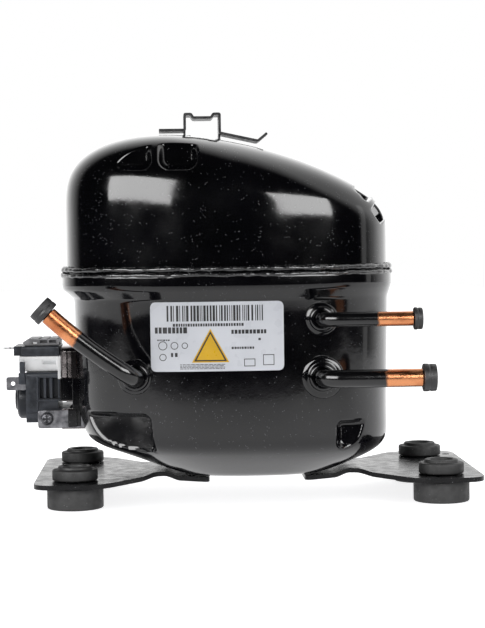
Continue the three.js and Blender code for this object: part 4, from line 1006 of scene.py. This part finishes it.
def tray_clip():
    line = soften([
        (-44, 175.1), (-31.7, 175.1), (-31.7, 182.6), (-28.7, 182.6), (-27.7, 180.9), (-19.1, 180.9),
        (-18.1, 182.6), (-15.1, 182.6), (-15.1, 173.6), (3, 169.6), (7.4, 173.2),
    ], 0.55, 3)
    outline = strip(line, 1.2)
    top = max(z for _, z in outline)
    outline = [(x, z - max(0, top - CLIP_TOP_Z)) for x, z in outline]
    hard_part("clip_strip", slab(outline, "y", -8, 8), clip_steel, "zinc_steel", 0.25, angle=50,
              stands_for=["tray_clip"])
    left_z, right_z = roof_z(-30), roof_z(-18)
    feet = joined(
        slab(rectangle(-32.4, -28.8, -4, 4, 0.8), "z", left_z - 1.5, left_z + 1.0),
        slab(rectangle(-21.8, -14.6, -4, 4, 0.8), "z", right_z - 1.5, right_z + 0.9),
        slab(rectangle(-32.3, -31.3, -3.8, 3.8, 0.3), "z", left_z - 1, 174.9),
        slab(rectangle(-15.8, -14.7, -3.8, 3.8, 0.3), "z", right_z - 1, 173.2),
    )
    hard_part("clip_feet", feet, clip_steel, "zinc_steel", 0.25, angle=50)
    spots = []
    for x, y in ((-32.2, -3.6), (-32.2, 3.6), (-15, -3.6), (-15, 3.6), (-21.6, -3.6), (-21.6, 3.6)):
        drop = turned([(0, 0.9), (0.7, 0.75), (1.2, 0.35), (1.5, -0.4), (0, -0.6)], 20, closed=False)
        spots.append(moved(drop, Matrix.Translation((x, y, roof_z(x) + 0.1))))
    piece("clip_welds", joined(*spots), bead_paint, slot="zinc_steel", sharp=60)


# ---------- starter end
# starter() and fence() are drawn for a plug whose middle is 50 mm above the floor, and are then raised.
PLUG_Z, DRAWN_PLUG_Z = 51.8, 50


def on_starter(name, form, material, slot, edge, cuts=(), node=None):
    nodes = [node] if node else ()
    return hard_part(name, form, material, slot, edge, cuts, body="starter", stands_for=nodes)


def starter():
    sockets = []
    for k in range(3):
        angle = TURN / 4 + k * TURN / 3
        spot = (-97, math.cos(angle) * 5.5, DRAWN_PLUG_Z + math.sin(angle) * 5.5)
        sockets.append(moved(bar(1.45, 0, 15, 20), aimed(spot, (1, 0, 0))))
    case_cuts = [
        *sockets,
        brick(-102, -89.5, -17, -13, 47.2, 57.0),
        brick(-109, -105.5, -13, 13, 53, 58),
        brick(-93.4, -86, -17, 17, 42.6, 46.0),
        brick(-108.9, -87, -16.6, -15.6, 40.2, 40.7),
        moved(bar(9.8, 0, 3, 48), aimed((-109.5, 0, 46), (1, 0, 0))),
    ]
    case = slab(rectangle(-16, 16, 35.8, 59.5, 1.6), "x", -108.5, -88)
    on_starter("starter_case", case, black_plastic, "black_plastic", 0.35, case_cuts, "starter_body")
    ribs = joined(
        brick(-100.2, -98.9, -15.7, -12.9, 47.3, 56.9),
        brick(-97.4, -96.0, -15.7, -12.9, 47.3, 56.9),
        brick(-103.4, -102.6, -16.5, -15.7, 42, 57.6),
        brick(-103.4, -92, -16.5, -15.9, 46.0, 46.8),
        brick(-93.4, -92.4, -16.2, -13.2, 47.3, 56.9),
    )
    on_starter("starter_ribs", ribs, black_plastic, "black_plastic", 0.2)
    house = slab(rectangle(-12.5, 12.5, 59.8, 67, 0.8), "x", -112, -91.5)
    house_cuts = [brick(-100.6, -94.6, -13, -10, 63.2, 64.8), brick(-112.6, -109.0, -13, -11, 59, 64.8)]
    on_starter("starter_cover", house, white_plastic, "white_plastic", 0.3, house_cuts, "starter_housing")
    ledge = joined(brick(-111.8, -92.0, -13.4, -12.4, 65.9, 67), brick(-93.3, -91.6, -16.9, -12.4, 56.4, 67))
    on_starter("starter_cover_ledge", ledge, white_plastic, "white_plastic", 0.2)
    hook = joined(
        brick(-111.2, -108.9, -16, -12.7, 57.6, 64.6),
        brick(-111.9, -108.6, -15.6, -12.7, 54, 59.4),
    )
    on_starter("starter_hook", hook, black_plastic, "black_plastic", 0.3)
    lid = slab(rectangle(-14, 14, 67.3, 71.8, 1.0), "x", -114.3, -92.6)
    lid_cuts = [brick(-115, -110.4, -15, -11.4, 66, 72.6)]
    on_starter("starter_top", lid, black_plastic, "black_plastic", 0.3, lid_cuts, "starter_lid")
    terminal_block()
    for name, spot, turn, stretch, material in (
        ("upper_spade", (-114.0, 0, 70.5), 0, 1.0, bright_steel),
        ("side_spade", (-108.4, -14.4, 54.4), math.pi / 2, 1.55, dull_zinc),
    ):
        spade(name, Matrix.Translation(spot) @ Matrix.Rotation(turn, 4, "X"), stretch, material)
    disc = soften([(0, 0), (9.5, 0), (9.5, 5.4), (8.2, 6.6), (5.4, 6.9), (5.0, 7.8), (0, 7.8)], 0.7, 3)
    form = moved(turned(disc, 64, closed=False), aimed((-106.8, 0, 46), (-1, 0, 0)))
    piece("protector_disc", form, black_plastic, body="starter", stands_for=["overload_protector"],
          slot="black_plastic", sharp=50)


def terminal_block():
    outline = [(-109.6, 72.1), (-92.8, 72.1), (-92.8, 75.3), (-107.4, 75.3), (-109.9, 73.7)]
    grooves = [brick(-102.3 + 4.4 * k, -101.7 + 4.4 * k, -12, 12, 74.8, 77) for k in range(3)]
    cuts = [
        brick(-105.4, -103.1, -12, -8.6, 72.7, 73.8),
        brick(-101.8, -98.4, -12, -9, 73.2, 74.5),
        brick(-97.6, -94.2, -12, -9, 73.2, 74.5),
        *grooves,
    ]
    block = slab(outline, "y", -11, 11)
    on_starter("terminal_block", block, grey_plastic, "grey_plastic", 0.25, cuts, "terminal_strip")
    piece("terminal_block_eye", brick(-105.1, -103.3, -10.9, -8.7, 72.8, 73.7), white_plastic,
          body="starter", slot="grey_plastic", sharp=30)


def spade(name, put, stretch, material):
    """A flat tab with an eye, drawn pointing to the left from its root at the origin."""
    tab = soften([(-6, -3.15), (0, -3.15), (0, 3.15), (-6, 3.15)], 0.8, 3, closed=True)
    form = moved(slab([(u * stretch, v) for u, v in tab], "z", -0.4, 0.4), put)
    eye = moved(bar(1.0, -3, 3, 24), put @ Matrix.Translation((-6 * stretch + 3.1, 0, 0)))
    on_starter(f"{name}_blade", form, material, "bright_steel", 0.12, [eye], name)


def fence():
    half, top, low, r = 19.5, 71.7, 33.0, 1.2
    side, roof = half - r / 2, top - r / 2
    line = soften([(-side, low), (-side, roof), (side, roof), (side, low)], 9, 10)
    slit = brick(-93, -86.4, -30, 30, 42.6, 46.0)
    hard_part("fence_guard", slab(strip(line, r), "x", -91.7, -72), dark_steel, "zinc_steel", 0.25, [slit],
              angle=50, stands_for=["terminal_fence"])
    bow = soften([(-91.4, -18.9), (-90.6, -20.9), (-87.0, -21.7), (-84.4, -19.4)], 3, 6)
    hard_part("fence_guard_front", slab(strip(bow, 1.0), "z", 57.4, 69.6), dark_steel, "zinc_steel", 0.25,
              angle=50, sharp=60)
    tab = rectangle(-102.7, -80, 33.6, 42, 1.4)
    hard_part("earth_tab", slab(tab, "y", -21.0, -19.8), dull_zinc, "zinc_steel", 0.25, angle=50,
              stands_for=["ground_tab"])
    support = joined(
        brick(-92.0, -83.0, -21.0, -20.2, 46.4, 57.2),
        brick(-86.4, -82.6, -21.6, -16, 34.4, 57.2),
        brick(-88.6, -84.2, -21.9, -20.9, 34.2, 42.4),
    )
    hard_part("earth_tab_support", support, black_paint, "black_paint", 0.5, segments=3)
    head = soften([(0, -4), (1.7, -4), (1.7, 0.1), (3.0, 0.1), (3.0, 1.2), (2.1, 2.0), (0, 2.2)], 0.3, 3)
    form = moved(turned(head, 48, closed=False), aimed((-98.4, -21.1, 38.2), (0, -1, 0)))
    screw = piece("earth_screw", form, dull_zinc, stands_for=["ground_screw"], slot="bright_steel", sharp=35)
    cross = [brick(-98.9, -97.9, -25, -22.1, 36.2, 40.2), brick(-100.4, -96.4, -25, -22.1, 37.7, 38.7)]
    cut(screw, *cross, sharp=35)


def lifted(build, up):
    """Builds something and raises all of its pieces."""
    before = set(bpy.data.objects)
    build()
    for obj in bpy.data.objects:
        if obj not in before:
            obj.data.transform(Matrix.Translation((0, 0, up * MM)))


base()
tubes()
label()
tray_clip()
lifted(starter, PLUG_Z - DRAWN_PLUG_Z)
lifted(fence, PLUG_Z - DRAWN_PLUG_Z)

# ---------- nodes kept from the frame
KEPT = {
    cup_steel: ["hermetic_terminal"],
    bright_steel: ["thrust_washer", "wrist_pin", "valve_plate", "suction_reed", "discharge_reed"],
    lamination: ["stator_core"],
    enamelled_wire: ["stator_winding"],
    cast_aluminium: ["rotor", "connecting_rod", "cylinder_head"],
    zinc_steel: ["oil_pickup", "front_left_stator_bolt", "front_right_stator_bolt", "rear_left_stator_bolt",
                 "rear_right_stator_bolt", "lower_front_head_bolt", "lower_rear_head_bolt",
                 "upper_front_head_bolt", "upper_rear_head_bolt"],
    cast_iron: ["crankshaft", "crank_pin", "piston", "cylinder_block"],
    gasket_sheet: ["head_gasket"],
    white_plastic: ["suction_muffler"],
}
for material, names in KEPT.items():
    for name in names:
        node = frame["nodes"][name]
        node.data.materials.clear()
        node.data.materials.append(material)
        smooth(node.data, 32)
        if name != "stator_winding":
            rounded_edges(node, 0.2, 2, 40)


# ---------- springs and discharge line
def stretched(name, piece_name, material):
    """A springy piece between the shell and the hanging pump, copied from its node with a new finish."""
    node = frame["nodes"][name]
    obj = added(piece_name, node.data.copy())
    obj.data.transform(node.matrix_world)
    obj.data.materials.clear()
    obj.data.materials.append(material)
    smooth(obj.data, 50)
    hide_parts(name)
    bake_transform(obj)


for end in ("front", "rear"):
    for side in ("left", "right"):
        stretched(f"{end}_{side}_spring", f"{end}_{side}_coil", bright_steel)
stretched("discharge_line", "shock_loop", painted_copper("line_copper", ((-400, 100), (-300, 100))))


# ---------- floor and light
def floor():
    """White paper that stops not far in front of the object, where the dim room begins."""
    front, side, far = -0.46, 0.8, 4.0
    mesh = bpy.data.meshes.new("floor")
    corners = [(-side, front, 0), (side, front, 0), (side, far, 0), (-side, far, 0)]
    mesh.from_pydata(corners, [], [(0, 1, 2, 3)])
    obj = added("floor", mesh)
    s = Shade("floor_paper")
    tone = s.mix(s.remap(s.noise(3), 0.3, 0.7), rgb(0.86, 0.86, 0.865), rgb(0.9, 0.9, 0.905))
    # The paper glows, strongly near the object and faintly at its front edge: a painted pool of light on the
    # floor.
    along = s.node("ShaderNodeSeparateXYZ", i0=s.spot).outputs[1]
    glow = s.remap(along, front, -0.1, 0.1, 0.95)
    s.set(Base_Color=tone, Roughness=0.7, Emission_Color=tone, Emission_Strength=glow)
    s.bumps([(s.noise(900), 0.02)])
    mesh.materials.append(s.material)


def lamp(name, way, distance, wide, tall, glow, target=(0, 0, 0.1)):
    """A soft box in a direction from the object, given how brightly its face glows."""
    data = bpy.data.lights.new(name, "AREA")
    data.shape = "RECTANGLE"
    data.size, data.size_y = wide, tall
    data.energy = glow * math.pi * wide * tall
    obj = added(name, data)
    spot = Vector(target) + Vector(way).normalized() * distance
    obj.location = spot
    obj.rotation_mode = "QUATERNION"
    obj.rotation_quaternion = (Vector(target) - spot).to_track_quat("-Z", "Y")
    obj.visible_diffuse = False


def sky():
    """A dim room with bright paper behind the object; soft light from above for all that is matt."""
    world = bpy.data.worlds.new("studio")
    bpy.context.scene.world = world
    world.use_nodes = True
    world.node_tree.nodes.clear()
    s = Nodes(world.node_tree)
    generated = s.node("ShaderNodeTexCoord").outputs["Generated"]
    right, back, up = s.node("ShaderNodeSeparateXYZ", i0=generated).outputs
    lean = s.sum("ADD", back, s.remap(right, 0, 1, 0, 0.36))
    corner = s.node("ShaderNodeMath", {"operation": "MULTIPLY_ADD"}, i0=s.remap(right, 0, 1, 0, 2),
                    i1=s.remap(up, 0, 1), i2=lean).outputs[0]
    mirrored = s.remap(corner, 0.5, 0.95, 0.012, 1.6)
    soft = s.remap(up, 0, 1, 0.25, 0.95)
    paths = s.node("ShaderNodeLightPath").outputs
    strength = s.blend(paths["Is Camera Ray"], s.blend(paths["Is Glossy Ray"], soft, mirrored), 1.0)
    light = s.node("ShaderNodeBackground", Color=(1, 1, 1, 1), Strength=strength)
    s.node("ShaderNodeOutputWorld", i0=light.outputs[0])


floor()
sky()
lamp("left_box", (-0.62, -0.72, 0.36), 1.3, 1.25, 0.62, 12.0)
lamp("right_box", (0.52, -0.80, 0.30), 1.3, 0.85, 0.5, 12.0)
lamp("right_side_box", (1.0, 0.04, 0.02), 1.3, 0.2, 0.9, 0.9)
make_camera()
bpy.context.scene.view_settings.view_transform = "Standard"
